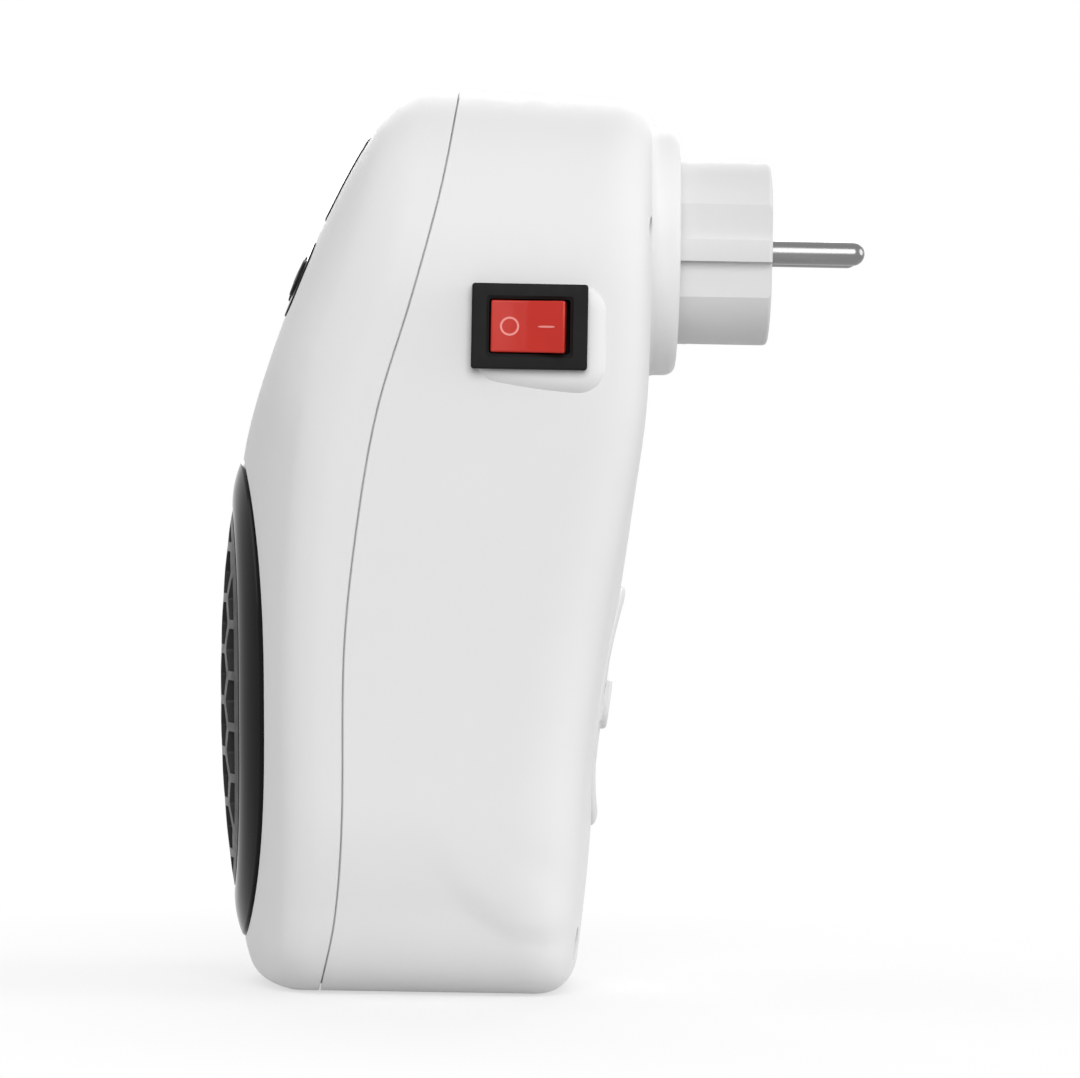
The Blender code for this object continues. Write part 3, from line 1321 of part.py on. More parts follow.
def make_contacts(looks):
    """Fixed bridge behind the slip rings with a spring leaf for each ring."""
    half = BRIDGE_HEIGHT / 2
    size = (2 * BRIDGE_HALF_WIDTH, BRIDGE_HEIGHT)
    bar = rounded(*size, half / 2, PART_CORNER_STEPS, (0, BRIDGE_Z))
    bridge = solid("contact_bridge", prism(bar, BRIDGE_FRONT, BRIDGE_REAR, "Y"), looks["heater_resin"])
    stem = rectangle(-BRIDGE_STEM_HALF_WIDTH, BRIDGE_STEM_HALF_WIDTH, BRIDGE_Z, BRIDGE_STEM_TOP)
    add(bridge, prism(stem, BRIDGE_FRONT, BRIDGE_REAR, "Y"))
    leaves = (
        ("contact_leaf_outer", LEAF_WIDTH, -(SLIP_OUTER_INSIDE + SLIP_OUTER_OUTSIDE) / 2),
        ("contact_leaf_inner", -LEAF_WIDTH, (SLIP_INNER_INSIDE + SLIP_INNER_OUTSIDE) / 2),
    )
    for name, x, touch in leaves:
        foot = BRIDGE_REAR + SEAT
        near = SLIP_FRONT - SEAT - LEAF_THICKNESS
        way = 1 if touch > 0 else -1
        foot_low = touch - way * 2 * LEAF_FOOT
        line = [(foot_low, foot), (foot_low + way * LEAF_FOOT, foot)]
        line += [(touch - way * LEAF_TOUCH, near), (touch + way * LEAF_TOUCH, near)]
        back = [(z, y + LEAF_THICKNESS) for z, y in line]
        outline = [(y, z) for z, y in line + back[::-1]]
        half_width = LEAF_WIDTH / 2
        solid(name, prism(outline, x - half_width, x + half_width, "X"), looks["brass"])


# Release button


def make_release(looks):
    """Button with a flange under the pocket's floor and a latch towards the retainer's rim."""
    top = DISC_FACE + COLLAR_RIM
    flange = -GUIDE_CEILING - SEAT
    under = flange - RELEASE_FLANGE_THICKNESS
    face_x = -COLLAR_RADIUS - RUN - RELEASE_WIDTH / 2
    origin = Vector((face_x, 0, RELEASE_Z))
    home = Matrix.Translation(origin)
    back = Matrix.Translation(-origin)
    edge = RELEASE_ROUNDING
    rings = [
        lifted(release_outline(-edge, 2 * RUN + edge), top, "Y"),
        lifted(release_outline(0, 2 * RUN), top - edge, "Y"),
        lifted(release_outline(0, 2 * RUN), under, "Y"),
    ]
    mesh = loft(rings)
    bmesh.ops.transform(mesh, matrix=back, verts=mesh.verts)
    button = solid("release_button", mesh, looks["shell"], home)
    outer, low, high = guide_span()
    inner = -RETAINER_RADIUS - SEAT - NOTCH_DEPTH - GUIDE_WALL - RUN
    add(button, box((outer + RUN, under, low + RUN), (inner, flange, high - RUN)))
    half = LATCH_HALF_HEIGHT
    latch = box(
        (-COLLAR_RADIUS - RUN - edge, flange - LATCH_THICKNESS, RELEASE_Z - half),
        (-RETAINER_RADIUS - SEAT, flange, RELEASE_Z + half),
    )
    add(button, latch)
    make_release_spring(looks, face_x, under)


def make_release_spring(looks, x, top):
    """Spring between the button's underside and the web of its guide, one unbroken wire."""
    low = -GUIDE_END + GUIDE_WEB + SEAT + SPRING_WIRE
    high = top - SEAT - SPRING_WIRE
    count = SPRING_TURNS * SPRING_TURN_POINTS
    radius = RELEASE_WIDTH * SPRING_RADIUS_share
    points = []
    for i in range(count + 1):
        turn = math.tau * i / SPRING_TURN_POINTS
        y = low + (high - low) * i / count
        points.append((radius * math.cos(turn), y, radius * math.sin(turn)))
    wire("release_spring", looks["steel"], points, SPRING_WIRE, (x, 0, RELEASE_Z))
    pitch = (high - low) / SPRING_TURNS
    print("release_spring least gap, mm:", round((pitch - 2 * SPRING_WIRE) * MM_IN_METRE, 2))


def wire(name, material, points, radius, place):
    curve = bpy.data.curves.new(name, "CURVE")
    curve.dimensions = "3D"
    curve.bevel_depth = radius
    curve.bevel_resolution = 0
    curve.use_fill_caps = True
    line = curve.splines.new("POLY")
    line.points.add(len(points) - 1)
    for at, point in zip(line.points, points):
        at.co = (*point, 1.0)
    curve.materials.append(material)
    made = bpy.data.objects.new(name, curve)
    made.location = place
    bpy.context.collection.objects.link(made)
    return made


# Switch


def make_switch(looks):
    """Black switch: a flange on the pad, a barrel through the wall and a well for the rocker."""

    def ring(length, height, x):
        return lifted(rounded(length, height, SWITCH_CORNER, SWITCH_CORNER_STEPS), x, "X")

    seat = PAD_X + SEAT
    face = seat + SWITCH_FLANGE
    edge = SWITCH_EDGE
    inner = PAD_X - BARREL_DEPTH
    rings = [
        ring(BARREL_LENGTH, BARREL_HEIGHT, inner),
        ring(BARREL_LENGTH, BARREL_HEIGHT, seat),
        ring(SWITCH_LENGTH, SWITCH_HEIGHT, seat),
        ring(SWITCH_LENGTH, SWITCH_HEIGHT, face - edge),
        ring(SWITCH_LENGTH - 2 * edge, SWITCH_HEIGHT - 2 * edge, face),
        ring(WELL_LENGTH, WELL_HEIGHT, face),
        ring(WELL_LENGTH, WELL_HEIGHT, face - WELL_DEPTH),
    ]
    place = Matrix.Translation((0, SWITCH_Y, SWITCH_Z))
    solid("switch_body", loft(rings), looks["matte_black"], place)
    make_rocker(looks, face)
    for number, side in enumerate((1, -1), 1):
        x = inner - SEAT
        y = SWITCH_Y + side * TERMINAL_SPACING
        half_width, half = TERMINAL_WIDTH / 2, TERMINAL_THICKNESS / 2
        low = (x - TERMINAL_LENGTH, y - half, SWITCH_Z - half_width)
        blade = box(low, (x, y + half, SWITCH_Z + half_width))
        solid(f"switch_terminal_{number}", blade, looks["brass"])


def make_rocker(looks, face):
    """Rocker at its off position: the front half pressed flush, the rear half raised."""
    pivot = face + ROCKER_PROUD - ROCKER_PIVOT_DEPTH * math.cos(ROCKER_TILT)
    half = ROCKER_HALF_LENGTH
    rise = half * math.tan(ROCKER_TILT)
    high = ROCKER_PIVOT_DEPTH + rise
    outline = [(-half, high), (0, ROCKER_PIVOT_DEPTH), (half, high)]
    foot, keel = half * ROCKER_FOOT_share, half * ROCKER_KEEL_share
    outline += [(foot, -ROCKER_PIVOT_DEPTH), (keel, -ROCKER_WEB)]
    outline += [(-keel, -ROCKER_WEB), (-foot, -ROCKER_PIVOT_DEPTH)]
    points = [(v, u) for u, v in outline]
    mesh = prism(points, -ROCKER_HEIGHT / 2, ROCKER_HEIGHT / 2, "Z")
    place = Matrix.Translation((pivot, SWITCH_Y, SWITCH_Z))
    rocker = solid("switch_rocker", mesh, looks["red"], place @ Matrix.Rotation(-ROCKER_TILT, 4, "Z"))
    bevelled(rocker, SWITCH_EDGE)


# Heater


def make_heater(looks):
    """Frame that carries the heater block behind the outlet, with four ears."""
    front, rear = -HEATER_FRONT, -HEATER_FRONT + HEATER_DEPTH
    width, height = HEATER_WIDTH, HEATER_HEIGHT
    wall = HEATER_WALL

    def outline(grow):
        size = (width + 2 * grow, height + 2 * grow)
        return rounded(*size, wall / 2, PART_CORNER_STEPS, (0, OUTLET_Z))

    mesh = prism(outline(wall), front, rear, "Y")
    frame = solid("heater_frame", mesh, looks["heater_resin"])
    lip = HEATER_LIP_THICKNESS
    cut(frame, prism(outline(0), front + lip, rear + OVERRUN, "Y"))
    cut(frame, prism(outline(-HEATER_LIP), front - OVERRUN, rear, "Y"))
    for x, z in ear_places():
        ear = ear_outline(x, z)
        add(frame, prism(ear, ear_front(), ear_front() + EAR_THICKNESS, "Y"))
    for x, z in ear_places():
        hole = circle(EAR_HOLE, POST_STEPS, (x, z))
        low, high = ear_front() - OVERRUN, ear_front() + EAR_THICKNESS + OVERRUN
        cut(frame, prism(hole, low, high, "Y"))
    make_ptc(looks, front + lip + SEAT)
    make_cutoff(looks, rear)


def ear_outline(x, z):
    """Ear with a round end, from the frame's top or bottom wall."""
    way = 1 if z > OUTLET_Z else -1
    points = [(x + u, z + way * v) for u, v in arc(EAR_RADIUS, EAR_STEPS, 0, math.pi)]
    root = OUTLET_Z + way * (HEATER_HEIGHT / 2 + HEATER_WALL / 2)
    return points + [(x - EAR_RADIUS, root), (x + EAR_RADIUS, root)]


def make_ptc(looks, front):
    """Finned heater block: ceramic bars with fins between them, open for the air along Y."""
    half_x, half_z = HEATER_WIDTH / 2 - SEAT, HEATER_HEIGHT / 2 - SEAT
    rear = front + PTC_DEPTH
    points = rounded(2 * half_x, 2 * half_z, HEATER_WALL / 2, PART_CORNER_STEPS, (0, OUTLET_Z))
    ptc = solid("ptc_heater", prism(points, front, rear, "Y"), looks["aluminium"])
    bank = (2 * half_z - (PTC_BARS + 1) * PTC_BAR) / PTC_BARS
    gap = (2 * half_x - (PTC_FINS + 1) * PTC_FIN) / PTC_FINS
    slots = bmesh.new()
    for i in range(PTC_BARS):
        low_z = OUTLET_Z - half_z + PTC_BAR + i * (bank + PTC_BAR)
        for j in range(PTC_FINS):
            low_x = -half_x + PTC_FIN + j * (gap + PTC_FIN)
            low = (low_x, front - OVERRUN, low_z)
            join(slots, box(low, (low_x + gap, rear + OVERRUN, low_z + bank)))
    cut(ptc, slots)


def make_cutoff(looks, rear):
    """Disc thermostat on the frame's top wall."""
    base = OUTLET_Z + HEATER_HEIGHT / 2 + HEATER_WALL + SEAT
    y = rear - CUTOFF_RADIUS - HEATER_WALL / 2
    radius, cap = CUTOFF_RADIUS, CUTOFF_CAP_RADIUS
    top = base + CUTOFF_HEIGHT
    profile = [(cap, base), (cap, base + CUTOFF_CAP_HEIGHT)]
    profile += [(radius, base + CUTOFF_CAP_HEIGHT), (radius, top)]
    solid("thermal_cutoff", turned(profile, "Z", PIN_STEPS, (0, y)), looks["matte_black"])


# Fan


def fan_post_places():
    places = []
    for i in range(FAN_POSTS):
        a = FAN_POST_ANGLE + i * math.tau / FAN_POSTS
        places.append((FAN_POST_REACH * math.cos(a), FAN_Z + FAN_POST_REACH * math.sin(a)))
    return places


def make_fan_frame(looks):
    """Round duct with four ears, and a cup on spokes for the motor."""
    centre = (0, FAN_Z)
    inner, outer = DUCT_RADIUS, DUCT_RADIUS + DUCT_WALL
    profile = [(inner, -DUCT_FRONT), (outer, -DUCT_FRONT), (outer, -DUCT_REAR), (inner, -DUCT_REAR)]
    frame = solid("fan_frame", ring_of(profile, "Y", DUCT_STEPS, centre), looks["fan"])
    low, high = MOTOR_RADIUS + SEAT, MOTOR_RADIUS + SEAT + CUP_WALL
    cup_rear = -DUCT_REAR + CUP_LENGTH
    cup = [(low, -DUCT_REAR - SPOKE_DEPTH), (high, -DUCT_REAR - SPOKE_DEPTH)]
    cup += [(high, cup_rear), (low, cup_rear)]
    half = SPOKE_WIDTH / 2
    reach = (low + high) / 2
    end = outer - DUCT_WALL / 2
    add(frame, ring_of(cup, "Y", MOTOR_STEPS, centre))
    for i in range(SPOKES):
        spoke = box((reach, -DUCT_REAR - SPOKE_DEPTH + SKIM, -half), (end, -DUCT_REAR - SKIM, half))
        turn = Matrix.Rotation(i * math.tau / SPOKES, 4, "Y")
        add(frame, spoke, Matrix.Translation((0, 0, FAN_Z)) @ turn)
    for i in range(FAN_POSTS):
        a = FAN_POST_ANGLE + i * math.tau / FAN_POSTS
        ear = box(
            (outer - DUCT_WALL / 2, -DUCT_REAR - SKIM, -FAN_EAR_RADIUS),
            (FAN_POST_REACH + FAN_EAR_RADIUS, -DUCT_REAR + FAN_EAR_THICKNESS, FAN_EAR_RADIUS),
        )
        turn = Matrix.Rotation(-a, 4, "Y")
        add(frame, ear, Matrix.Translation((0, 0, FAN_Z)) @ turn)


def make_motor(looks):
    centre = (0, FAN_Z)
    front, rear = -MOTOR_FRONT, -MOTOR_FRONT + MOTOR_LENGTH
    r, edge, boss = MOTOR_RADIUS, MOTOR_EDGE, MOTOR_BOSS_RADIUS
    bore = SHAFT_RADIUS + SHAFT_FIT
    tip = front - MOTOR_BOSS_HEIGHT
    profile = [(bore, front + MOTOR_BORE), (bore, tip), (boss, tip), (boss, front)]
    profile += [(r - edge, front), (r, front + edge), (r, rear - edge), (r - edge, rear)]
    solid("fan_motor", turned(profile, "Y", MOTOR_STEPS, centre), looks["steel"])
    end = -FAN_HUB_FRONT + FAN_SKIN + SEAT
    shaft = prism(circle(SHAFT_RADIUS, SCREW_STEPS), end, front + MOTOR_BORE - SEAT, "Y")
    solid("motor_shaft", shaft, looks["steel"], Matrix.Translation((0, 0, FAN_Z)))


def blade():
    """One swept blade, lofted from inside the hub to the tip."""
    root = FAN_HUB_RADIUS * BLADE_ROOT_share
    rings = []
    for i in range(BLADE_STEPS + 1):
        t = i / BLADE_STEPS
        radius = root + (FAN_RADIUS - root) * t
        sweep = BLADE_ROOT_SWEEP + (BLADE_TIP_SWEEP - BLADE_ROOT_SWEEP) * t
        half = BLADE_THICKNESS / 2 / radius
        chord = []
        for share in BLADE_CHORD_shares:
            bow = half * BLADE_BOW * share * (1 - share)
            y = -BLADE_FRONT + (BLADE_FRONT - BLADE_REAR) * share
            chord.append((sweep * (share - 0.5) + bow, y))
        near = [(a - half, y) for a, y in chord]
        far = [(a + half, y) for a, y in chord[::-1]]
        ring = []
        for a, y in near + far:
            ring.append(Vector((radius * math.cos(a), y, radius * math.sin(a))))
        rings.append(ring)
    return loft(rings)


def make_impeller(looks):
    """Axial impeller: a cup-shaped hub with seven swept blades."""
    front, rear = -FAN_HUB_FRONT, -FAN_HUB_REAR
    r, skin, boss = FAN_HUB_RADIUS, FAN_SKIN, MOTOR_BOSS_RADIUS
    bore = SHAFT_RADIUS + SHAFT_FIT
    profile = [(r - skin, front), (r, front + skin), (r, rear), (r - skin, rear)]
    profile += [(r - skin, front + 2 * skin), (boss, front + 2 * skin), (boss, rear - skin)]
    profile += [(bore, rear - skin), (bore, front + skin)]
    matrix = Matrix.Translation((0, 0, FAN_Z))
    fan = solid("fan_impeller", turned(profile, "Y", HUB_STEPS), looks["fan"], matrix)
    for i in range(BLADES):
        turn = Matrix.Rotation(math.tau * i / BLADES, 4, "Y")
        add(fan, blade(), matrix @ turn)


# Power board


def make_power_board(looks):
    front = POWER_Y - BOARD_THICKNESS
    half_x, half_z = POWER_WIDTH / 2, POWER_HEIGHT / 2
    low = (-half_x, front, POWER_Z - half_z)
    solid("power_board", box(low, (half_x, POWER_Y, POWER_Z + half_z)), looks["board"])
    parts = (
        ("relay", RELAY_SIZE, RELAY_X, "relay"),
        ("capacitor", CAPACITOR_SIZE, CAPACITOR_X, "capacitor"),
    )
    for name, (width, height, depth), x, look in parts:
        low = (x - width / 2, front - SEAT - depth, POWER_Z - height / 2)
        high = (x + width / 2, front - SEAT, POWER_Z + height / 2)
        bevelled(solid(name, box(low, high), looks[look]), PART_EDGE, 1)


def clear_scene():
    for old in list(bpy.data.objects):
        bpy.data.objects.remove(old)


def main():
    clear_scene()
    looks = make_finishes()
    make_front_shell(looks)
    make_rear_shell(looks)
    make_screws(looks)
    make_bezel(looks)
    make_guard(looks)
    make_panel(looks)
    make_control_board(looks)
    make_plug(looks)
    make_pins(looks)
    make_retainer(looks)
    make_slip_rings(looks)
    make_contacts(looks)
    make_release(looks)
    make_switch(looks)
    make_heater(looks)
    make_fan_frame(looks)
    make_motor(looks)
    make_impeller(looks)
    make_power_board(looks)


main()
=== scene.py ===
"""Looks of the plug-in fan heater: fine pieces around the frame, materials, light and camera."""

import json
import math

import bmesh
import bpy
from mathutils import Matrix, Quaternion, Vector


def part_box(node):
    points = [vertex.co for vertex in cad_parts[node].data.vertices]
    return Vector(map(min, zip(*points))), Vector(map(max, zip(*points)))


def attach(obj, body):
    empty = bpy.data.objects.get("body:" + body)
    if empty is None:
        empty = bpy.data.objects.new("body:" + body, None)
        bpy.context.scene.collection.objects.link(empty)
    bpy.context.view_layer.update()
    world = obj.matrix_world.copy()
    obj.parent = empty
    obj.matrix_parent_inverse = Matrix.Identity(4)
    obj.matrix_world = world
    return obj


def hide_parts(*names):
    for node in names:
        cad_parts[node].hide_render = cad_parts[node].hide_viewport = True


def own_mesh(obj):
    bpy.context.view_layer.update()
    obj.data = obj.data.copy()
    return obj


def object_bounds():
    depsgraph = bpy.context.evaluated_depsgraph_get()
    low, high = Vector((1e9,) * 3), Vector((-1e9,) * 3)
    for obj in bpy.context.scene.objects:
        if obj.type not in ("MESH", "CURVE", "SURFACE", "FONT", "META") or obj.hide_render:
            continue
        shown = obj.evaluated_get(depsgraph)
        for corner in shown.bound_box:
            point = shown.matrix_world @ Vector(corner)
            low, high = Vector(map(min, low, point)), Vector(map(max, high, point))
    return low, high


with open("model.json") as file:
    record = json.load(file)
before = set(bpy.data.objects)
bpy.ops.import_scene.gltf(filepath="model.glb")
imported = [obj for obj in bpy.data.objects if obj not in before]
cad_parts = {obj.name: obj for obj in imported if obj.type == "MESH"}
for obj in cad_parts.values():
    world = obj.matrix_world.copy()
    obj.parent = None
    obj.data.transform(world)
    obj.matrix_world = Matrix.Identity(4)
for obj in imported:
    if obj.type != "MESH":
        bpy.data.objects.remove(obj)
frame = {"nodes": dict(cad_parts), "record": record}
cad_box = [list(corner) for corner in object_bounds()]

QUARTER = math.pi / 2
MM = 0.001

# Sizes are in millimetres, in the frame of the CAD; shares are (level, share) points
HALF_WIDTH, TOP, HEIGHT, ARCH_RISE, ARCH_POWER = 45.0, 31.8, 181.3, 45.0, 2.3
BOTTOM_CORNER, CORNER_POWER, CORNER_SPREAD, SIDE_TAPER = 18.0, 3.0, 1.4, 1.5
BOTTOM, WAIST = TOP - HEIGHT, TOP - ARCH_RISE
FRONT_REACH, REAR_SETBACK = 107.2, 24.5 / 0.662
FACE_SHARES = ((0.0, 0.683), (0.065, 0.766), (0.167, 0.852), (0.303, 0.939), (0.422, 0.989),
               (0.682, 1.0), (0.945, 0.971), (1.0, 0.945))
SEAM_SHARES = ((0.0, 0.59), (0.115, 0.623), (0.236, 0.674), (0.359, 0.733), (0.482, 0.766),
               (0.619, 0.786), (0.813, 0.785), (0.917, 0.796), (1.0, 0.823))
REAR_SHARES = ((0.0, 0.662), (0.337, 0.662), (0.473, 0.73), (0.608, 0.816), (0.743, 0.895),
               (0.876, 0.938), (1.0, 1.0))
REAR_CROWN_SHARES = ((0.0, 0.2), (0.35, 0.25), (0.62, 1.0), (1.0, 1.0))
FRONT_CROWN, REAR_CROWN = 13.8, 5.0
# The front is flatter across at the panel than at the outlet: the crown's power at two heights
PANEL_CROWN, OUTLET_CROWN = (-20.0, 3.6), (-44.0, 2.0)
# The sides lean in towards the foot: where the lean starts, where it is full, and its slope there
LEAN_START, LEAN_FULL, LEAN_SLOPE = -111.0, -130.0, math.tan(math.radians(16))
# Tongue on the rear shell's sides, where the flat side runs on over the leaning foot: (Y, Z)
TONGUE_EDGE = (
    (-74.5, -104), (-70.8, -112.9), (-64.6, -121.4), (-60, -128.1), (-55.4, -132.5),
    (-49.4, -135.4), (-43.3, -136.2), (-38.6, -135.2), (-37.6, -133.2), (-38.2, -132.1),
    (-43.5, -126.3), (-49.6, -122.6), (-53.8, -117.4), (-57.3, -111.1), (-60, -104),
)
TONGUE_BLEND, TONGUE_LIFT = 3.2, 0.34
FRONT_EDGE, REAR_SIDE_EDGE, REAR_END_EDGE, EDGE_DEPTH = 5.0, 12.0, 6.5, 1.08
REAR_DRAFT = 1.2

# Walls, gaps and steps
WALL, SEAT, RUN = 2.2, 0.3, 0.4
ROOT_DEPTH = 0.7 * WALL  # how deep a post's root is sunk in the wall
SEAM_LIP, SEAM_EASE = 1.5, 0.18
ARCH_STEPS, SIDE_STEPS, CORNER_STEPS, BOTTOM_STEPS = 34, 60, 20, 8
FACE_RINGS, EDGE_STEPS, FRONT_SIDE_RINGS, REAR_SIDE_RINGS = 36, 10, 4, 44
INNER_RINGS, INNER_STEPS = 12, 4

# Posts and screws in the housing
SCREW_PLACES = ((31.07, 2.792), (-31.07, -26.035), (21.9, -139.627), (-21.9, -139.627))
SCREW_TUBE_END, SCREW_TUBE_R, SCREW_WELL_R = 58.5, 4.75, 3.25
SCREW_FLOOR = -SCREW_TUBE_END + 2.2
SCREW_POST_R, SCREW_BORE_R, SCREW_BORE_DEPTH = 4.0, 1.8, 13.5
HEATER_POST_X, HEATER_POST_Z, HEATER_POST_R, HEATER_POST_END = 25.4, 38.93, 2.6, -92.45
FAN_POST_CIRCLE, FAN_POST_R, FAN_POST_END = 33.9, 2.7, -55.1

# Outlet: its rim, the bezel and the honeycomb guard
OUTLET_Z, OUTLET_X, OUTLET_H, OUTLET_POWER = -92.296, 32.0, 48.304, 2.4
DOME_RISE, DOME_STEP = 2.05, 0.5
BEZEL_WIDTH, BEZEL_DEPTH, GUARD_THICKNESS = 9.8, 4.2, 2.4
CELL_PITCH, CELL_BAR, CELL_CORNER, CELL_MARGIN = 10.3, 1.8, 0.7, 2.1
CELL_COLUMNS, CELL_ROWS, CELL_END = 2, 4, -95.0
CUT_FRONT = -FRONT_REACH - 5.0  # clear in front of everything

# Display and buttons: (width, length, middle up the leaning panel), (width, length, place across)
PANEL_Z, PANEL_TILT = 2.5, math.radians(24)
PANEL_PARTS = ((31.0, 19.2, 4.6 / 2 + 19.2 / 2), (38.0, 16.3, -4.6 / 2 - 16.3 / 2))
PANEL_CORNER, PANEL_LIFT, PANEL_BACK, PANEL_FLANGE, PANEL_CUT = 5.0, 0.3, -WALL - 1.2, 1.1, 16.0
BUTTONS = ((8.8, 7.8, -12.8), (9.8, 9.8, 0.0), (8.8, 7.8, 12.8))

# Plug, collar and release button
DISC_FACE, DISC_RADIUS, DISC_THICKNESS, DISC_HUB_R = -19.0, 22.25, 3.5, 18.9
PLUG_RADIUS, PLUG_STEPS = 18.7, 144
PIN_RADIUS, PIN_LENGTH, PIN_X, PIN_ROOT = 2.4, 19.0, 9.5, -29.3
COLLAR_RADIUS, COLLAR_RIM = 25.1, DISC_FACE + 0.3
RETAINER_RADIUS, NOTCH_DEPTH = 21.5, 1.6
RELEASE_Z, RELEASE_WIDTH, RELEASE_HALF, RELEASE_CORNER = -0.8, 11.8, 6.5, 1.0
RELEASE_HOLE_END, RELEASE_TRAVEL = -37.1, 3.02

# Mains switch: lengths along Y and Z
SWITCH_Y, SWITCH_Z, PAD_X = -48.99, -16.5, 45.2
SWITCH_FRAME, SWITCH_BARREL, SWITCH_OPENING = (22.8, 16.8), (18.6, 12.4), (15.9, 10.8)
SWITCH_HOLE, SWITCH_HOLE_X = (19.2, 13.0), (29.7, 47.0)


# Curves and surfaces


def along(shares, place):
    """Value at a place on a smooth curve through the shares."""
    last = len(shares) - 1
    place = min(max(place, shares[0][0]), shares[last][0])
    found = max(i for i in range(last) if shares[i][0] <= place)

    def slope(i):
        low, high = shares[max(i - 1, 0)], shares[min(i + 1, last)]
        return (high[1] - low[1]) / (high[0] - low[0])

    (start, first), (end, second) = shares[found], shares[found + 1]
    span = end - start
    t = (place - start) / span
    value = first + (second - first) * t * t * (3 - 2 * t)
    value += slope(found) * t * (1 - t) ** 2 * span
    return value + slope(found + 1) * t * t * (t - 1) * span


def level(z):
    return (TOP - z) / HEIGHT


def smooth(share):
    share = min(max(share, 0.0), 1.0)
    return share * share * (3 - 2 * share)


def face_y(x, z):
    (high, flat), (low, plain) = PANEL_CROWN, OUTLET_CROWN
    power = plain + (flat - plain) * smooth((z - low) / (high - low))
    return FRONT_CROWN * abs(x / HALF_WIDTH) ** power - FRONT_REACH * along(FACE_SHARES, level(z))


def lean(z):
    """How far the side has leaned in at a height."""
    start, full = LEAN_START - z, LEAN_START - LEAN_FULL
    if start <= full:
        return LEAN_SLOPE * max(start, 0.0) ** 2 / (2 * full)
    return LEAN_SLOPE * (start - full / 2)


def seam_y(z):
    return -FRONT_REACH * along(SEAM_SHARES, level(z))


def rear_y(x, z):
    crown = REAR_CROWN * along(REAR_CROWN_SHARES, level(z))
    return -REAR_SETBACK * along(REAR_SHARES, level(z)) - crown * (x / HALF_WIDTH) ** 2


def dome_y(x, z):
    inside = 1 - abs(x / OUTLET_X) ** OUTLET_POWER - abs((z - OUTLET_Z) / OUTLET_H) ** OUTLET_POWER
    return face_y(x, z) - DOME_STEP - DOME_RISE * max(0.0, inside)


class Outline:
    """The housing's front view: an arch over straight sides and rounded bottom corners."""

    def __init__(self, half=HALF_WIDTH, top=TOP, waist=WAIST, bottom=BOTTOM, corner=BOTTOM_CORNER,
                 taper=SIDE_TAPER):
        self.half, self.top, self.waist = half, top, waist
        self.bottom, self.corner, self.taper = bottom, corner, taper

    def inset(self, side, top, bottom):
        corner = max(self.corner - max(side, bottom), self.corner / 4)
        return Outline(self.half - side, self.top - top, self.waist, self.bottom + bottom, corner,
                       self.taper)

    def shrunk(self, share, middle):
        ends = [middle + share * (z - middle) for z in (self.top, self.waist, self.bottom)]
        return Outline(self.half * share, *ends, self.corner * share, self.taper * share)

    def points(self):
        half = []
        for i in range(ARCH_STEPS + 1):
            a = QUARTER * i / ARCH_STEPS
            x = self.half * math.sin(a) ** (2 / ARCH_POWER)
            rise = max(math.cos(a), 0.0) ** (2 / ARCH_POWER)
            half.append((x, self.waist + (self.top - self.waist) * rise))
        foot = self.bottom + self.corner
        for i in range(1, SIDE_STEPS + 1):
            t = i / SIDE_STEPS
            half.append((self.half - self.taper * t * t, self.waist + (foot - self.waist) * t))
        for i in range(1, CORNER_STEPS + 1):
            a = QUARTER * (i / CORNER_STEPS) ** CORNER_SPREAD
            reach = max(math.cos(a), 0.0) ** (2 / CORNER_POWER)
            x = self.half - self.taper - self.corner * (1 - reach)
            half.append((x, foot - self.corner * math.sin(a) ** (2 / CORNER_POWER)))
        x = half[-1][0]
        half += [(x * (1 - i / BOTTOM_STEPS), self.bottom) for i in range(1, BOTTOM_STEPS + 1)]
        half = [(x * (1 - lean(z) / HALF_WIDTH), z) for x, z in half]
        return half + [(-x, z) for x, z in half[-2:0:-1]]


HOUSING = Outline()


def on_surface(points, surface):
    return [Vector((x, surface(x, z), z)) for x, z in points]


def edge_rings(outer, inner, surface, way, steps):
    rings = []
    for i in range(steps + 1):
        t = 1 - i / steps
        ring = []
        for (x0, z0), (x1, z1) in zip(outer.points(), inner.points()):
            depth = EDGE_DEPTH * math.hypot(x1 - x0, z1 - z0)
            corner = Vector((x0, surface(x0, z0), z0))
            start = corner + Vector((0, way * depth, 0))
            end = Vector((x1, surface(x1, z1), z1))
            ring.append(start.lerp(corner, t).lerp(corner.lerp(end, t), t))
        rings.append(ring)
    return rings


def shell_skin(outer, inner, surface, way, seam, rings, steps, sides):
    """Rings from the middle of the face over its edge and down the side to the seam."""
    made = [[Vector((0, surface(0, OUTLET_Z), OUTLET_Z))]]
    for i in range(1, rings):
        made.append(on_surface(inner.shrunk(i / rings, OUTLET_Z).points(), surface))
    made += edge_rings(outer, inner, surface, way, steps)
    last = made[-1]
    for i in range(1, sides):
        made.append([a.lerp(b, i / sides) for a, b in zip(last, seam)])
    return made + [seam]


def depth_in(place, edge):
    """Distance of a place from a closed line of points: above nought inside it."""
    inside, nearest = False, math.inf
    y, z = place
    for (y0, z0), (y1, z1) in zip(edge, edge[1:] + edge[:1]):
        t = ((y - y0) * (y1 - y0) + (z - z0) * (z1 - z0)) / ((y1 - y0) ** 2 + (z1 - z0) ** 2)
        t = min(max(t, 0.0), 1.0)
        nearest = min(nearest, math.hypot(y - y0 - t * (y1 - y0), z - z0 - t * (z1 - z0)))
        if (z0 > z) != (z1 > z) and y < y0 + (z - z0) * (y1 - y0) / (z1 - z0):
            inside = not inside
    return nearest if inside else -nearest


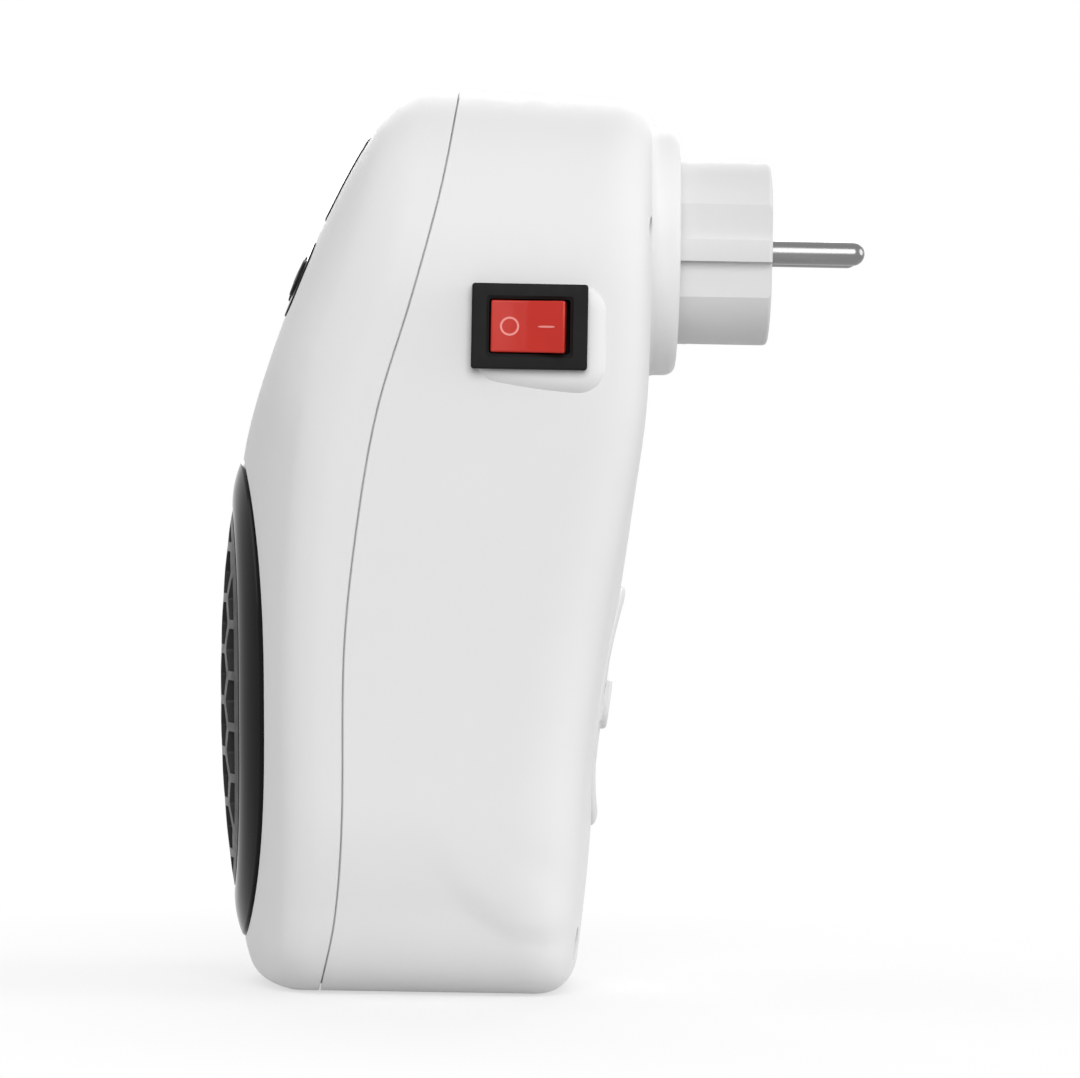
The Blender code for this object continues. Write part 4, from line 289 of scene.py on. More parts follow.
def swollen(ring):
    """A side ring on which the tongue leans in less than the foot around it."""
    made = []
    for point in ring:
        share = smooth(0.5 + depth_in((point.y, point.z), TONGUE_EDGE) / (2 * TONGUE_BLEND))
        if abs(point.x) < HALF_WIDTH / 2:
            share = 0.0
        push = TONGUE_LIFT * share * lean(point.z) * abs(point.x) / HALF_WIDTH
        made.append(Vector((point.x + math.copysign(push, point.x), point.y, point.z)))
    return made


def at_seam(outline, shift):
    return [Vector((x, seam_y(z) + shift, z)) for x, z in outline.points()]


# Meshes


def loft(rings, closed=False):
    """Mesh through rings of points; a ring of one point is a tip."""
    mesh = bmesh.new()
    rows = [[mesh.verts.new(point * MM) for point in ring] for ring in rings]
    pairs = list(zip(rows, rows[1:]))
    if closed:
        pairs.append((rows[-1], rows[0]))
    for first, second in pairs:
        count = max(len(first), len(second))
        for i in range(count):
            j = (i + 1) % count
            corners = [first[i % len(first)], first[j % len(first)]]
            corners += [second[j % len(second)], second[i % len(second)]]
            mesh.faces.new(list(dict.fromkeys(corners)))
    if not closed:
        for row in (rows[0], rows[-1]):
            if len(row) > 2:
                mesh.faces.new(row)
    bmesh.ops.recalc_face_normals(mesh, faces=mesh.faces)
    return mesh


def linked(name, mesh, matrix=None):
    data = bpy.data.meshes.new(name)
    mesh.to_mesh(data)
    mesh.free()
    made = bpy.data.objects.new(name, data)
    bpy.context.scene.collection.objects.link(made)
    if matrix:
        made.matrix_world = matrix
    return made


def boolean(target, mesh, operation="DIFFERENCE", matrix=None):
    """Cuts or joins a mesh at once and takes the tool away."""
    cutter = linked("cutter", mesh, matrix)
    change = target.modifiers.new("change", "BOOLEAN")
    change.operation, change.solver, change.object = operation, "EXACT", cutter
    bpy.context.view_layer.update()
    whole = target.evaluated_get(bpy.context.evaluated_depsgraph_get())
    data = bpy.data.meshes.new_from_object(whole)
    target.modifiers.clear()
    target.data = data
    bpy.data.objects.remove(cutter)


def piece(target, body, look, nodes=(), slot=None, angle=28):
    """Finishes a piece: look, shading, the body it rides on, and hides the nodes it stands for; the
    slot is not used.
    """
    slot = slot or look
    target.data.materials.clear()
    target.data.materials.append(looks[look])
    target.data.shade_smooth()
    target.data.set_sharp_from_angle(angle=math.radians(angle))
    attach(target, body)
    if nodes:
        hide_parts(*nodes)
    return target


def circle(radius, steps, centre=(0, 0)):
    turns = [math.tau * i / steps for i in range(steps)]
    return [(centre[0] + radius * math.cos(a), centre[1] + radius * math.sin(a)) for a in turns]


def arc(radius, steps, start, end, centre=(0, 0)):
    angles = [start + (end - start) * i / steps for i in range(steps + 1)]
    return [(centre[0] + radius * math.cos(a), centre[1] + radius * math.sin(a)) for a in angles]


def oval(half_width, half_height, steps=120, centre=(0, 0), power=2.0):
    """An ellipse, or with a power above 2 a fuller oval."""
    points = []
    for i in range(steps):
        a = math.tau * i / steps
        x, y = (math.copysign(abs(s) ** (2 / power), s) for s in (math.cos(a), math.sin(a)))
        points.append((centre[0] + half_width * x, centre[1] + half_height * y))
    return points


def outlet_oval(inward, steps):
    """The outlet's rim, or an oval set in from it."""
    return oval(OUTLET_X - inward, OUTLET_H - inward, steps, (0, OUTLET_Z), OUTLET_POWER)


def rounded(width, height, radius, steps=6, centre=(0, 0), spans=1):
    points = []
    for corner, (sx, sy) in enumerate(((1, 1), (-1, 1), (-1, -1), (1, -1))):
        for i in range(steps + 1):
            a = QUARTER * (corner + i / steps)
            x = sx * (width / 2 - radius) + radius * math.cos(a)
            y = sy * (height / 2 - radius) + radius * math.sin(a)
            points.append((centre[0] + x, centre[1] + y))
        wide, high = width - 2 * radius, height - 2 * radius
        side = (-sx * wide, 0) if corner % 2 == 0 else (0, -sy * high)
        x, y = points[-1]
        points += [(x + side[0] * i / spans, y + side[1] * i / spans) for i in range(1, spans)]
    return points


def lifted(points, height, axis="Y"):
    """Points of a plane at a height on the axis square to it."""
    place = "XYZ".index(axis)
    return [Vector((*point[:place], height, *point[place:])) for point in points]


def prism(points, low, high, axis="Y"):
    return loft([lifted(points, low, axis), lifted(points, high, axis)])


def box(low, high):
    points = [(low[0], low[1]), (high[0], low[1]), (high[0], high[1]), (low[0], high[1])]
    return prism(points, low[2], high[2], "Z")


def turned(profile, steps=PLUG_STEPS, centre=(0, 0)):
    """Turns a profile of (radius, Y) points about an axis along Y."""
    return loft([lifted(circle(radius, steps, centre), y) for radius, y in profile])


def join(whole, mesh, matrix=None):
    if matrix:
        bmesh.ops.transform(mesh, matrix=matrix, verts=mesh.verts)
    data = bpy.data.meshes.new("piece")
    mesh.to_mesh(data)
    mesh.free()
    whole.from_mesh(data)
    bpy.data.meshes.remove(data)


def at(x, y, z):
    return Matrix.Translation(Vector((x, y, z)) * MM)


# Materials


def shader(name):
    material = bpy.data.materials.new(name)
    material.use_nodes = True
    nodes = material.node_tree.nodes
    return material, nodes, material.node_tree.links, nodes["Principled BSDF"]


def noise(nodes, links, scale, detail=3.0):
    place = nodes.new("ShaderNodeTexCoord")
    texture = nodes.new("ShaderNodeTexNoise")
    texture.inputs["Scale"].default_value = scale
    texture.inputs["Detail"].default_value = detail
    links.new(place.outputs["Object"], texture.inputs["Vector"])
    return texture.outputs["Fac"]


def ramp(nodes, links, source, low, high, start=0.3, end=0.7):
    made = nodes.new("ShaderNodeMapRange")
    made.inputs["From Min"].default_value, made.inputs["From Max"].default_value = start, end
    made.inputs["To Min"].default_value, made.inputs["To Max"].default_value = low, high
    links.new(source, made.inputs["Value"])
    return made.outputs["Result"]


def tint(nodes, links, source, first, second):
    made = nodes.new("ShaderNodeMix")
    made.data_type = "RGBA"
    made.inputs["A"].default_value = (*first, 1)
    made.inputs["B"].default_value = (*second, 1)
    links.new(source, made.inputs["Factor"])
    return made.outputs["Result"]


def bump(nodes, links, source, distance):
    made = nodes.new("ShaderNodeBump")
    made.inputs["Strength"].default_value = 1.0
    made.inputs["Distance"].default_value = distance * MM
    links.new(source, made.inputs["Height"])
    return made.outputs["Normal"]


def moulded(name, light, dark, rough, grain=2600, depth=0.006, shine=0.5):
    """Moulded plastic: a faint mottle, a fine spark-eroded grain and uneven gloss."""
    material, nodes, links, surface = shader(name)
    mottle = noise(nodes, links, 90)
    links.new(tint(nodes, links, mottle, dark, light), surface.inputs["Base Color"])
    links.new(ramp(nodes, links, noise(nodes, links, 400), *rough), surface.inputs["Roughness"])
    links.new(bump(nodes, links, noise(nodes, links, grain, 2), depth), surface.inputs["Normal"])
    surface.inputs["Specular IOR Level"].default_value = shine
    return material


def metal(name, light, dark, rough, stretch=(1, 1, 1)):
    """Metal with a faint drawn grain along one axis."""
    material, nodes, links, surface = shader(name)
    place = nodes.new("ShaderNodeTexCoord")
    mapping = nodes.new("ShaderNodeMapping")
    mapping.inputs["Scale"].default_value = stretch
    texture = nodes.new("ShaderNodeTexNoise")
    texture.inputs["Scale"].default_value = 700
    texture.inputs["Detail"].default_value = 4
    links.new(place.outputs["Object"], mapping.inputs["Vector"])
    links.new(mapping.outputs["Vector"], texture.inputs["Vector"])
    grain = texture.outputs["Fac"]
    links.new(tint(nodes, links, grain, dark, light), surface.inputs["Base Color"])
    links.new(ramp(nodes, links, grain, *rough), surface.inputs["Roughness"])
    links.new(bump(nodes, links, grain, 0.004), surface.inputs["Normal"])
    surface.inputs["Metallic"].default_value = 1.0
    return material


def grey(value):
    return (value, value, value)


# Two colours, roughness, grain, bump depth and shine
PLASTICS = {
    "white_shell": (grey(0.82), grey(0.805), (0.46, 0.58), 2600, 0.006, 0.2),
    "plug_grey_white": (grey(0.74), grey(0.72), (0.46, 0.58), 2600, 0.006, 0.2),
    "gloss_black": (grey(0.009), grey(0.006), (0.08, 0.16), 60, 0.02, 0.06),
    "guard_black": (grey(0.055), grey(0.04), (0.28, 0.42), 1500, 0.01, 0.1),
    "smoked_lens": (grey(0.012), grey(0.008), (0.04, 0.1), 60, 0.01, 0.06),
    "matte_black": (grey(0.018), grey(0.013), (0.38, 0.55), 2200, 0.01, 0.06),
    "rocker_red": ((0.62, 0.035, 0.022), (0.54, 0.026, 0.018), (0.12, 0.22), 300, 0.004, 0.2),
    "heater_resin": ((0.06, 0.052, 0.045), (0.045, 0.04, 0.035), (0.5, 0.65)),
    "board_green": ((0.02, 0.17, 0.06), (0.015, 0.13, 0.045), (0.35, 0.5)),
    "relay_blue": ((0.02, 0.1, 0.42), (0.016, 0.08, 0.35), (0.35, 0.45)),
    "capacitor_yellow": ((0.78, 0.52, 0.04), (0.7, 0.45, 0.03), (0.3, 0.4)),
    "fan_grey": (grey(0.36), grey(0.32), (0.4, 0.5)),
    "tact_black": (grey(0.032), grey(0.024), (0.35, 0.5)),
    "mark_pink": ((0.86, 0.3, 0.27), (0.8, 0.26, 0.23), (0.35, 0.45)),
    "icon_grey": (grey(0.55), grey(0.48), (0.4, 0.5)),
}
# Two colours, roughness and the stretch of the grain
METALS = {
    # The plated pins' colours are far darker than plating: painted shade that stands in for the
    # dark surroundings the pins reflect
    "plated_pin": (grey(0.26), grey(0.18), (0.2, 0.3), (1, 0.06, 1)),
    "steel": (grey(0.55), grey(0.42), (0.25, 0.42)),
    "brass": ((0.8, 0.58, 0.26), (0.66, 0.45, 0.18), (0.2, 0.36)),
    "fin_aluminium": (grey(0.7), grey(0.58), (0.3, 0.45)),
}

looks = {name: moulded(name, *row) for name, row in PLASTICS.items()}
looks.update((name, metal(name, *row)) for name, row in METALS.items())
slots = {row["node"]: row["material_slot"] for row in frame["record"]["subparts"]}
for node, obj in frame["nodes"].items():
    obj.data.materials.clear()
    obj.data.materials.append(looks[slots[node]])
    obj.data.shade_smooth()
    obj.data.set_sharp_from_angle(angle=math.radians(30))


# Shells


def spread(name, outline, face_outline, seam_shift, tip_shift, face, way, lip, sides):
    """Skin outside and inside, joined by the stepped rim at the seam; its outer edge is eased."""
    seam = at_seam(HOUSING, seam_shift - way * SEAM_EASE)
    outside = shell_skin(outline, face_outline, face, way, seam, FACE_RINGS, EDGE_STEPS, sides)
    if way < 0:
        outside[FACE_RINGS:-1] = [swollen(ring) for ring in outside[FACE_RINGS:-1]]
    outside.append(at_seam(HOUSING.inset(SEAM_EASE, SEAM_EASE, SEAM_EASE), seam_shift))
    hollow_seam = at_seam(HOUSING.inset(WALL, WALL, WALL), tip_shift)
    inside = shell_skin(outline.inset(WALL, WALL, WALL), face_outline,
                        lambda x, z: face(x, z) + way * WALL, way, hollow_seam, INNER_RINGS,
                        INNER_STEPS, INNER_STEPS)
    rebate = HOUSING.inset(lip, lip, lip)
    rim = [at_seam(rebate, seam_shift), at_seam(rebate, tip_shift)]
    return linked(name, loft(outside + rim + inside[::-1]))


def in_front_wall(x, z):
    return face_y(x, z) + ROOT_DEPTH


def in_rear_wall(x, z):
    side, end = HALF_WIDTH - SIDE_TAPER - REAR_DRAFT - abs(x), z - BOTTOM - REAR_DRAFT
    drops = []
    for near, edge in ((side, REAR_SIDE_EDGE), (end, REAR_END_EDGE)):
        reach = min(max(near / edge, 0), 1)
        drops.append(EDGE_DEPTH * edge * (1 - math.sqrt(reach)) ** 2)
    return rear_y(x, z) - max(drops) - ROOT_DEPTH


def post(x, z, radius, end, surface):
    points = circle(radius, 32, (x, z))
    return loft([on_surface(points, surface), lifted(points, end)])


def add_loose(target, mesh):
    """Puts a closed mesh into a piece without a Boolean; its root is sunk in the wall."""
    whole = bmesh.new()
    whole.from_mesh(target.data)
    join(whole, mesh)
    whole.to_mesh(target.data)
    whole.free()


def make_front_shell():
    face = HOUSING.inset(FRONT_EDGE, FRONT_EDGE, FRONT_EDGE)
    shell = spread("front_shell_skin", HOUSING, face, -SEAT / 2, -SEAT / 2 - SEAM_LIP - SEAT,
                   face_y, 1, WALL / 2, FRONT_SIDE_RINGS)
    boolean(shell, prism(outlet_oval(-SEAT, 120), CUT_FRONT + 1, seam_y(OUTLET_Z)))
    cutters = bmesh.new()
    for width, length, middle in PANEL_PARTS:
        join(cutters, prism(panel_outline(width, length, middle, SEAT), -PANEL_CUT, PANEL_CUT, "Z"))
    boolean(shell, cutters, matrix=panel_frame(MM))
    end = -SCREW_TUBE_END - SEAT
    for x, z in SCREW_PLACES:
        outer, bore = (circle(r, 32, (x, z)) for r in (SCREW_POST_R, SCREW_BORE_R))
        rings = [on_surface(outer, in_front_wall), lifted(outer, end), lifted(bore, end)]
        add_loose(shell, loft(rings + [lifted(bore, end - SCREW_BORE_DEPTH)]))
    for sx in (1, -1):
        for sz in (1, -1):
            x, z = sx * HEATER_POST_X, OUTLET_Z + sz * HEATER_POST_Z
            add_loose(shell, post(x, z, HEATER_POST_R, HEATER_POST_END, in_front_wall))
    piece(shell, "housing", "white_shell", ["front_shell"])


def make_rear_shell():
    outer = HOUSING.inset(REAR_DRAFT, REAR_DRAFT, 0)
    face = outer.inset(REAR_SIDE_EDGE, REAR_END_EDGE, REAR_END_EDGE)
    shell = spread("rear_shell_skin", outer, face, SEAT / 2, SEAT / 2 - SEAM_LIP, rear_y, -1,
                   WALL / 2 + SEAT, REAR_SIDE_RINGS)
    raised = inlet_relief()
    join(raised, switch_pad())
    join(raised, release_guide())
    boolean(shell, raised, "UNION")
    holes = inlet_slots()
    length, height = SWITCH_HOLE
    join(holes, box((SWITCH_HOLE_X[0], SWITCH_Y - length / 2, SWITCH_Z - height / 2),
                    (SWITCH_HOLE_X[1], SWITCH_Y + length / 2, SWITCH_Z + height / 2)))
    join(holes, pocket())
    boolean(shell, holes)
    boolean(shell, turned(collar_profile()), "UNION")
    boolean(shell, turned(well_profile()))
    boolean(shell, screw_wells())
    boolean(shell, prism(release_outline(RUN, RUN), RELEASE_HOLE_END, 0))
    for x, z in SCREW_PLACES:
        add_loose(shell, screw_tube(x, z))
    for i in range(4):
        a = math.pi / 4 + i * QUARTER
        x, z = FAN_POST_CIRCLE * math.cos(a), OUTLET_Z + FAN_POST_CIRCLE * math.sin(a)
        add_loose(shell, post(x, z, FAN_POST_R, FAN_POST_END, in_rear_wall))
    piece(shell, "housing", "white_shell", ["rear_shell"])


def pocket():
    """Recess round the release button, its rim eased."""
    middle, width, height, corner = -31.95, 26.1, 17.5, 1.0
    rings = []
    for grow, y in ((0, -26.4), (0, -25.3), (0.25, -25.0), (1.1, -24.2), (1.1, 0)):
        points = rounded(height + 2 * grow, width + 2 * grow, corner + grow, 8, (RELEASE_Z, middle))
        rings.append(lifted([(x, z) for z, x in points], y))
    return loft(rings)


def inlet_relief():
    """Raised ring and hub on the curved rear face; the ring stands lower towards its sides."""
    half, ring_height, ring_sides = 2.4, 1.2, 0.3
    middle = 24.7 - half
    hub_radius, hub_height, edge = 5.0, 1.3, 0.7
    relief = bmesh.new()

    def ring(radius, height, sides=1.0):
        def raised(x, z):
            share = sides + (1 - sides) * ((z - OUTLET_Z) / radius) ** 4 if radius else 1
            return rear_y(x, z) + (height * share if height > 0 else height)

        return on_surface(circle(radius, 144, (0, OUTLET_Z)) if radius else [(0, OUTLET_Z)], raised)

    section = [(middle + x, y * ring_height / half) for x, y in arc(half, 16, 0, math.pi)]
    rings = [ring(middle + half, -ROOT_DEPTH)] + [ring(r, h, ring_sides) for r, h in section]
    join(relief, loft(rings + [ring(middle - half, -ROOT_DEPTH)], closed=True))
    hub = [(0, -ROOT_DEPTH), (hub_radius, -ROOT_DEPTH), (hub_radius, hub_height - edge)]
    hub += [(hub_radius - edge + x, hub_height - edge + y) for x, y in arc(edge, 5, 0, QUARTER)]
    hub += [(hub_radius * 0.48, hub_height), (0, hub_height)]
    join(relief, loft([ring(r, h) for r, h in hub]))
    return relief


def inlet_slots():
    start, end, gap, width, corner = 6.2, 18.7, 0.6, 2.6, 1.25
    between = (start + end) / 2
    slots = bmesh.new()
    for low, high, count in ((start, between - gap, 6), (between + gap, end, 12)):
        for i in range(count):
            points = rounded(high - low, width, corner, 8, ((low + high) / 2, 0))
            turn = at(0, 0, OUTLET_Z) @ Matrix.Rotation(math.tau * (i + 0.5) / count, 4, "Y")
            join(slots, prism(points, -46, DISC_FACE), turn)
    return slots


def switch_pad():
    """Flat pad out of the curved wall under the switch, which fades into it at the front."""
    front, rear = SWITCH_Y - 10.0, SWITCH_Y + 12.9
    top, foot = SWITCH_Z + 6.7, SWITCH_Z - 11.2
    middle = ((front + rear) / 2, (top + foot) / 2)
    flat, skirt, fall, foot_rise = 1.2, 3.2, 0.165, 2.0
    corner, root, steps = 3.4, 42.0, 12

    def ring(grow, x):
        made = []
        length, height = rear - front + 2 * grow, top - foot + 2 * grow
        for y, z in rounded(length, height, corner + grow, 10, middle, 8):
            ahead = max((rear - y) / (rear - front), 0.0)
            low = smooth((middle[1] - z) / (middle[1] - foot))
            made.append((y, z + foot_rise * ahead ** 2 * low))
        return lifted(made, x, "X")

    rings = [ring(skirt, root)]
    for i in range(steps, 0, -1):
        reach = (skirt + flat) * i / steps
        rings.append(ring(reach - flat, PAD_X - fall * reach ** 2))
    return loft(rings + [ring(-flat, PAD_X)])


def collar_profile():
    """Collar with a rounded rim and a fillet at its foot."""
    wide, deep, fillet, foot, root = 1.85, 2.5, 2.6, -25.4, -26.5
    profile = [(COLLAR_RADIUS - wide * (1 - x), COLLAR_RIM - deep * (1 - y))
               for x, y in arc(1, 12, QUARTER, 0)]
    sweep = arc(fillet, 10, math.pi, math.pi + QUARTER)
    profile += [(COLLAR_RADIUS + fillet + x, foot + fillet + y) for x, y in sweep]
    return profile + [(COLLAR_RADIUS + fillet, root)]


def well_profile():
    """Room in the collar for the plug's disc, its hub and its retainer, with an eased mouth."""
    rim, bore, hub, room = COLLAR_RIM, DISC_RADIUS + 0.8, 19.3, 22.3
    shelf, floor, end = DISC_FACE - 3.8, -26.1, -29.1
    well = [(bore + 0.35, rim + 1), (bore + 0.35, rim + 0.05), (bore + 0.1, rim - 0.12)]
    well += [(bore, rim - 0.4), (bore, shelf), (hub, shelf), (hub, floor), (room, floor)]
    return well + [(room, end)]


def release_outline(grow, inner_grow):
    """Rear view of the release button: curved along the collar, with rounded outer corners."""
    inner = COLLAR_RADIUS + inner_grow
    half, corner = RELEASE_HALF + grow, RELEASE_CORNER + grow
    edge = corner - (COLLAR_RADIUS + RUN + RELEASE_WIDTH + grow)
    low = math.asin((RELEASE_Z - half) / inner)
    high = math.asin((RELEASE_Z + half) / inner)
    outside = arc(corner, 6, -2 * QUARTER, -QUARTER, (edge, RELEASE_Z - half + corner))[::-1]
    outside += arc(corner, 6, 2 * QUARTER, QUARTER, (edge, RELEASE_Z + half - corner))
    return outside + [(-x, z) for x, z in arc(inner, 20, high, low)]


def release_guide():
    """Block inside the housing in which the release button's shaft slides."""
    wall = 1.1
    outer = -COLLAR_RADIUS - RUN - RELEASE_WIDTH - RUN - wall
    inner = -RETAINER_RADIUS - SEAT - NOTCH_DEPTH
    half = RELEASE_HALF + RELEASE_CORNER + RUN + wall
    return box((outer, -38.5, RELEASE_Z - half), (inner, -26.2, RELEASE_Z + half))


def screw_wells():
    wells, ease = bmesh.new(), 0.35
    for x, z in SCREW_PLACES:
        rim = in_rear_wall(x, z) + ROOT_DEPTH
        profile = [(SCREW_WELL_R, SCREW_FLOOR), (SCREW_WELL_R, rim - ease)]
        profile += [(SCREW_WELL_R + ease, rim + 0.4), (SCREW_WELL_R + ease, 0)]
        join(wells, turned(profile, 48, (x, z)))
    return wells


def screw_tube(x, z):
    """Tube from the rear wall to the seam's side of a screw, with a floor for its head."""
    radii = (SCREW_TUBE_R, SCREW_WELL_R, SCREW_BORE_R)
    outer, inner, shank = (circle(radius, 48, (x, z)) for radius in radii)
    rings = [on_surface(outer, in_rear_wall)]
    rings += [lifted(points, -SCREW_TUBE_END) for points in (outer, shank)]
    rings += [lifted(points, SCREW_FLOOR) for points in (shank, inner)]
    return loft(rings + [on_surface(inner, in_rear_wall)], closed=True)


def make_screws():
    """Pan heads, each with a cross recess."""
    seat = SCREW_FLOOR + SEAT
    head, height, crown, edge = 2.7, 2.2, 0.25, 0.9
    shank, length, cone, tip = 1.5, 13.5, 1.5, 0.5
    arm, reach = 0.3, 1.4
    profile = [(shank * t, seat + height - crown * t * t) for t in (0.3, 1.0)]
    profile += [(head - edge + x, seat + height - crown - edge + y)
                for x, y in arc(edge, 6, QUARTER, 0)]
    profile += [(head, seat), (shank, seat), (shank, seat - length + cone), (tip, seat - length)]
    cross = [(-arm, -reach), (arm, -reach), (arm, -arm), (reach, -arm), (reach, arm), (arm, arm),
             (arm, reach), (-arm, reach), (-arm, arm), (-reach, arm), (-reach, -arm), (-arm, -arm)]
    for number, (x, z) in enumerate(SCREW_PLACES, 1):
        screw = linked(f"screw_{number}_fine", turned(profile, 40), at(x, 0, z))
        boolean(screw, prism(cross, seat + 0.9, seat + 4), matrix=at(x, 0, z))
        piece(screw, "housing", "steel", [f"housing_screw_{number}"])


# Outlet


def outlet_ring(inward, surface, shift=0.0, grow=0.0, steps=200):
    return on_surface(outlet_oval(inward - grow, steps), lambda x, z: surface(x, z) + shift)


def make_bezel():
    """Swelling ring on the shell's face, with a flange behind the wall."""
    lip, flange, thick = WALL + 1.8, 2.2, 1.2
    edge, inner_edge, swell, steps = 0.8, 0.5, 0.4, 16
    width = BEZEL_WIDTH - edge - inner_edge
    rings = [outlet_ring(0, face_y, lip + thick, flange), outlet_ring(0, face_y, lip, flange)]
    rings.append(outlet_ring(0, face_y, lip))
    rings += [outlet_ring(edge - x, dome_y, edge - y) for x, y in arc(edge, 6, 0, QUARTER)]
    for share in (i / steps for i in range(1, steps)):
        rise = swell * math.sin(math.pi * share) ** 0.8
        rings.append(outlet_ring(edge + width * share, dome_y, -rise))
    rings += [outlet_ring(edge + width + x, dome_y, inner_edge - y)
              for x, y in arc(inner_edge, 5, QUARTER, 0)]
    rings.append(outlet_ring(BEZEL_WIDTH, dome_y, BEZEL_DEPTH))
    bezel = linked("bezel_fine", loft(rings, closed=True))
    piece(bezel, "housing", "gloss_black", ["outlet_bezel"], angle=40)


def hexagon(radius, corner, centre):
    """Hexagon with rounded corners."""
    points = []
    inner = radius - corner / math.cos(math.pi / 6)
    for i in range(6):
        a = math.tau * i / 6
        middle = (centre[0] + inner * math.cos(a), centre[1] + inner * math.sin(a))
        points += arc(corner, 3, a - math.pi / 6, a + math.pi / 6, middle)
    return points


def make_guard():
    """Domed honeycomb inside the bezel, with a flange behind it."""
    lip, fit, flange, skirt, steps = BEZEL_DEPTH + SEAT, -SEAT, 1.2, 1.1, 160
    half_width, half_height = OUTLET_X - BEZEL_WIDTH - SEAT, OUTLET_H - BEZEL_WIDTH - SEAT

    def dome(share, depth):
        points = oval(half_width * share, half_height * share, steps, (0, OUTLET_Z), OUTLET_POWER)
        return on_surface(points, lambda x, z: dome_y(x, z) + depth)

    rings = [[Vector((0, dome_y(0, OUTLET_Z), OUTLET_Z))]]
    rings += [dome(i / 10, 0) for i in range(1, 10)]
    for shift, grow in ((0.1, fit - 0.1), (lip, fit), (lip, flange), (lip + flange, flange),
                        (lip + flange, fit - skirt), (GUARD_THICKNESS, fit - skirt)):
        rings.append(outlet_ring(BEZEL_WIDTH, dome_y, shift, grow, steps))
    rings += [dome(i / 10, GUARD_THICKNESS) for i in range(9, 0, -1)]
    rings.append([Vector((0, dome_y(0, OUTLET_Z) + GUARD_THICKNESS, OUTLET_Z))])
    guard = linked("guard_fine", loft(rings))
    field = bmesh.new()
    across, radius = CELL_PITCH * math.sqrt(3) / 2, (CELL_PITCH - CELL_BAR) / math.sqrt(3)
    for column in range(-CELL_COLUMNS, CELL_COLUMNS + 1):
        for row in range(-CELL_ROWS, CELL_ROWS + 1):
            up = row * CELL_PITCH + CELL_PITCH / 2 * (column % 2)
            outline = hexagon(radius, CELL_CORNER, (column * across, OUTLET_Z + up))
            join(field, prism(outline, CUT_FRONT, CELL_END))
    cells = linked("cells", field)
    limit = outlet_oval(BEZEL_WIDTH + SEAT + CELL_MARGIN, 120)
    boolean(cells, prism(limit, CUT_FRONT - 1, 0), "INTERSECT")
    mesh = bmesh.new()
    mesh.from_mesh(cells.data)
    bpy.data.objects.remove(cells)
    boolean(guard, mesh)
    piece(guard, "housing", "guard_black", ["outlet_grille"])


# Display and buttons


def panel_frame(unit=1.0):
    """Frame of the leaning panel: X across, Y up it and Z out of it."""
    up = Vector((0, math.sin(PANEL_TILT), math.cos(PANEL_TILT)))
    out = Vector((0, -math.cos(PANEL_TILT), math.sin(PANEL_TILT)))
    turn = Matrix((Vector((1, 0, 0)), up, out)).transposed()
    origin = Vector((0, face_y(0, PANEL_Z), PANEL_Z)) * unit
    return Matrix.Translation(origin) @ turn.to_4x4()


def on_panel(points, lift):
    frame_of_panel = panel_frame()
    made = []
    for u, v in points:
        n = 0.0
        for _ in range(8):
            place = frame_of_panel @ Vector((u, v, n))
            n += (place.y - face_y(place.x, place.z)) * math.cos(PANEL_TILT)
        made.append(Vector((u, v, n + lift)))
    return made


def panel_outline(width, length, middle, grow=0.0):
    return rounded(width + 2 * grow, length + 2 * grow, PANEL_CORNER + grow, 14, (0, middle), 10)


def make_inlay(name, width, length, middle, look, node, holes=()):
    """Inlay that follows the front's curve, with a flange behind the wall."""
    def ring(grow, lift, share=1.0):
        points = panel_outline(width, length, middle, grow)
        return on_panel([(u * share, middle + (v - middle) * share) for u, v in points], lift)

    edge, flange, end = PANEL_LIFT, 1.2, PANEL_BACK - PANEL_FLANGE
    shares = [i / 8 for i in range(1, 8)]
    rings = [on_panel([(0, middle)], PANEL_LIFT)] + [ring(0, PANEL_LIFT, share) for share in shares]
    rings += [ring(x - edge, y) for x, y in arc(edge, 4, QUARTER, 0)]
    rings += [ring(0, PANEL_BACK), ring(flange, PANEL_BACK), ring(flange, end)]
    rings += [ring(0, end, share) for share in shares[::-1]]
    inlay = linked(name, loft(rings + [on_panel([(0, middle)], end)]), panel_frame(MM))
    if holes:
        cutters = bmesh.new()
        for points in holes:
            join(cutters, prism(points, -PANEL_CUT, PANEL_CUT, "Z"))
        boolean(inlay, cutters, matrix=panel_frame(MM))
    piece(inlay, "housing", look, [node])


def make_button(node, body, width, length, u, marks):
    """Slightly crowned button with a flange behind the plate and a stem to its switch."""
    v = PANEL_PARTS[1][2]
    height, crown, edge = 0.72, 0.12, 0.3
    flange, thick, stem_radius, stem_end = 0.7, 0.8, 1.5, -7.3
    under = PANEL_BACK - SEAT - PANEL_FLANGE - PANEL_LIFT

    def ring(grow, lift):
        points = oval(width / 2 + grow, length / 2 + grow, 72, (u, v))
        return on_panel(points, PANEL_LIFT + lift)

    rings = [on_panel([(u, v)], PANEL_LIFT + height)]
    rings += [ring(-width / 2 * (1 - t), height - crown * t * t) for t in (0.3, 0.6, 0.85)]
    rings += [ring(x - edge, edge + y) for x, y in arc(edge, 4, QUARTER, 0)]
    rings += [ring(0, under), ring(flange, under), ring(flange, under - thick)]
    stem = circle(stem_radius, 72, (u, v))
    rings += [on_panel(stem, PANEL_LIFT + under - thick), lifted(stem, stem_end, "Z")]
    button = linked(node + "_fine", loft(rings), panel_frame(MM))
    piece(button, body, "matte_black", [node])
    for number, outline in enumerate(marks):
        points = [(u + x, v + y) for x, y in outline]
        solid = loft([on_panel(points, PANEL_LIFT + lift) for lift in (0.5, 0.75)])
        mark = linked(f"{node}_mark_{number}", solid, panel_frame(MM))
        piece(mark, body, "icon_grey", slot="matte_black")


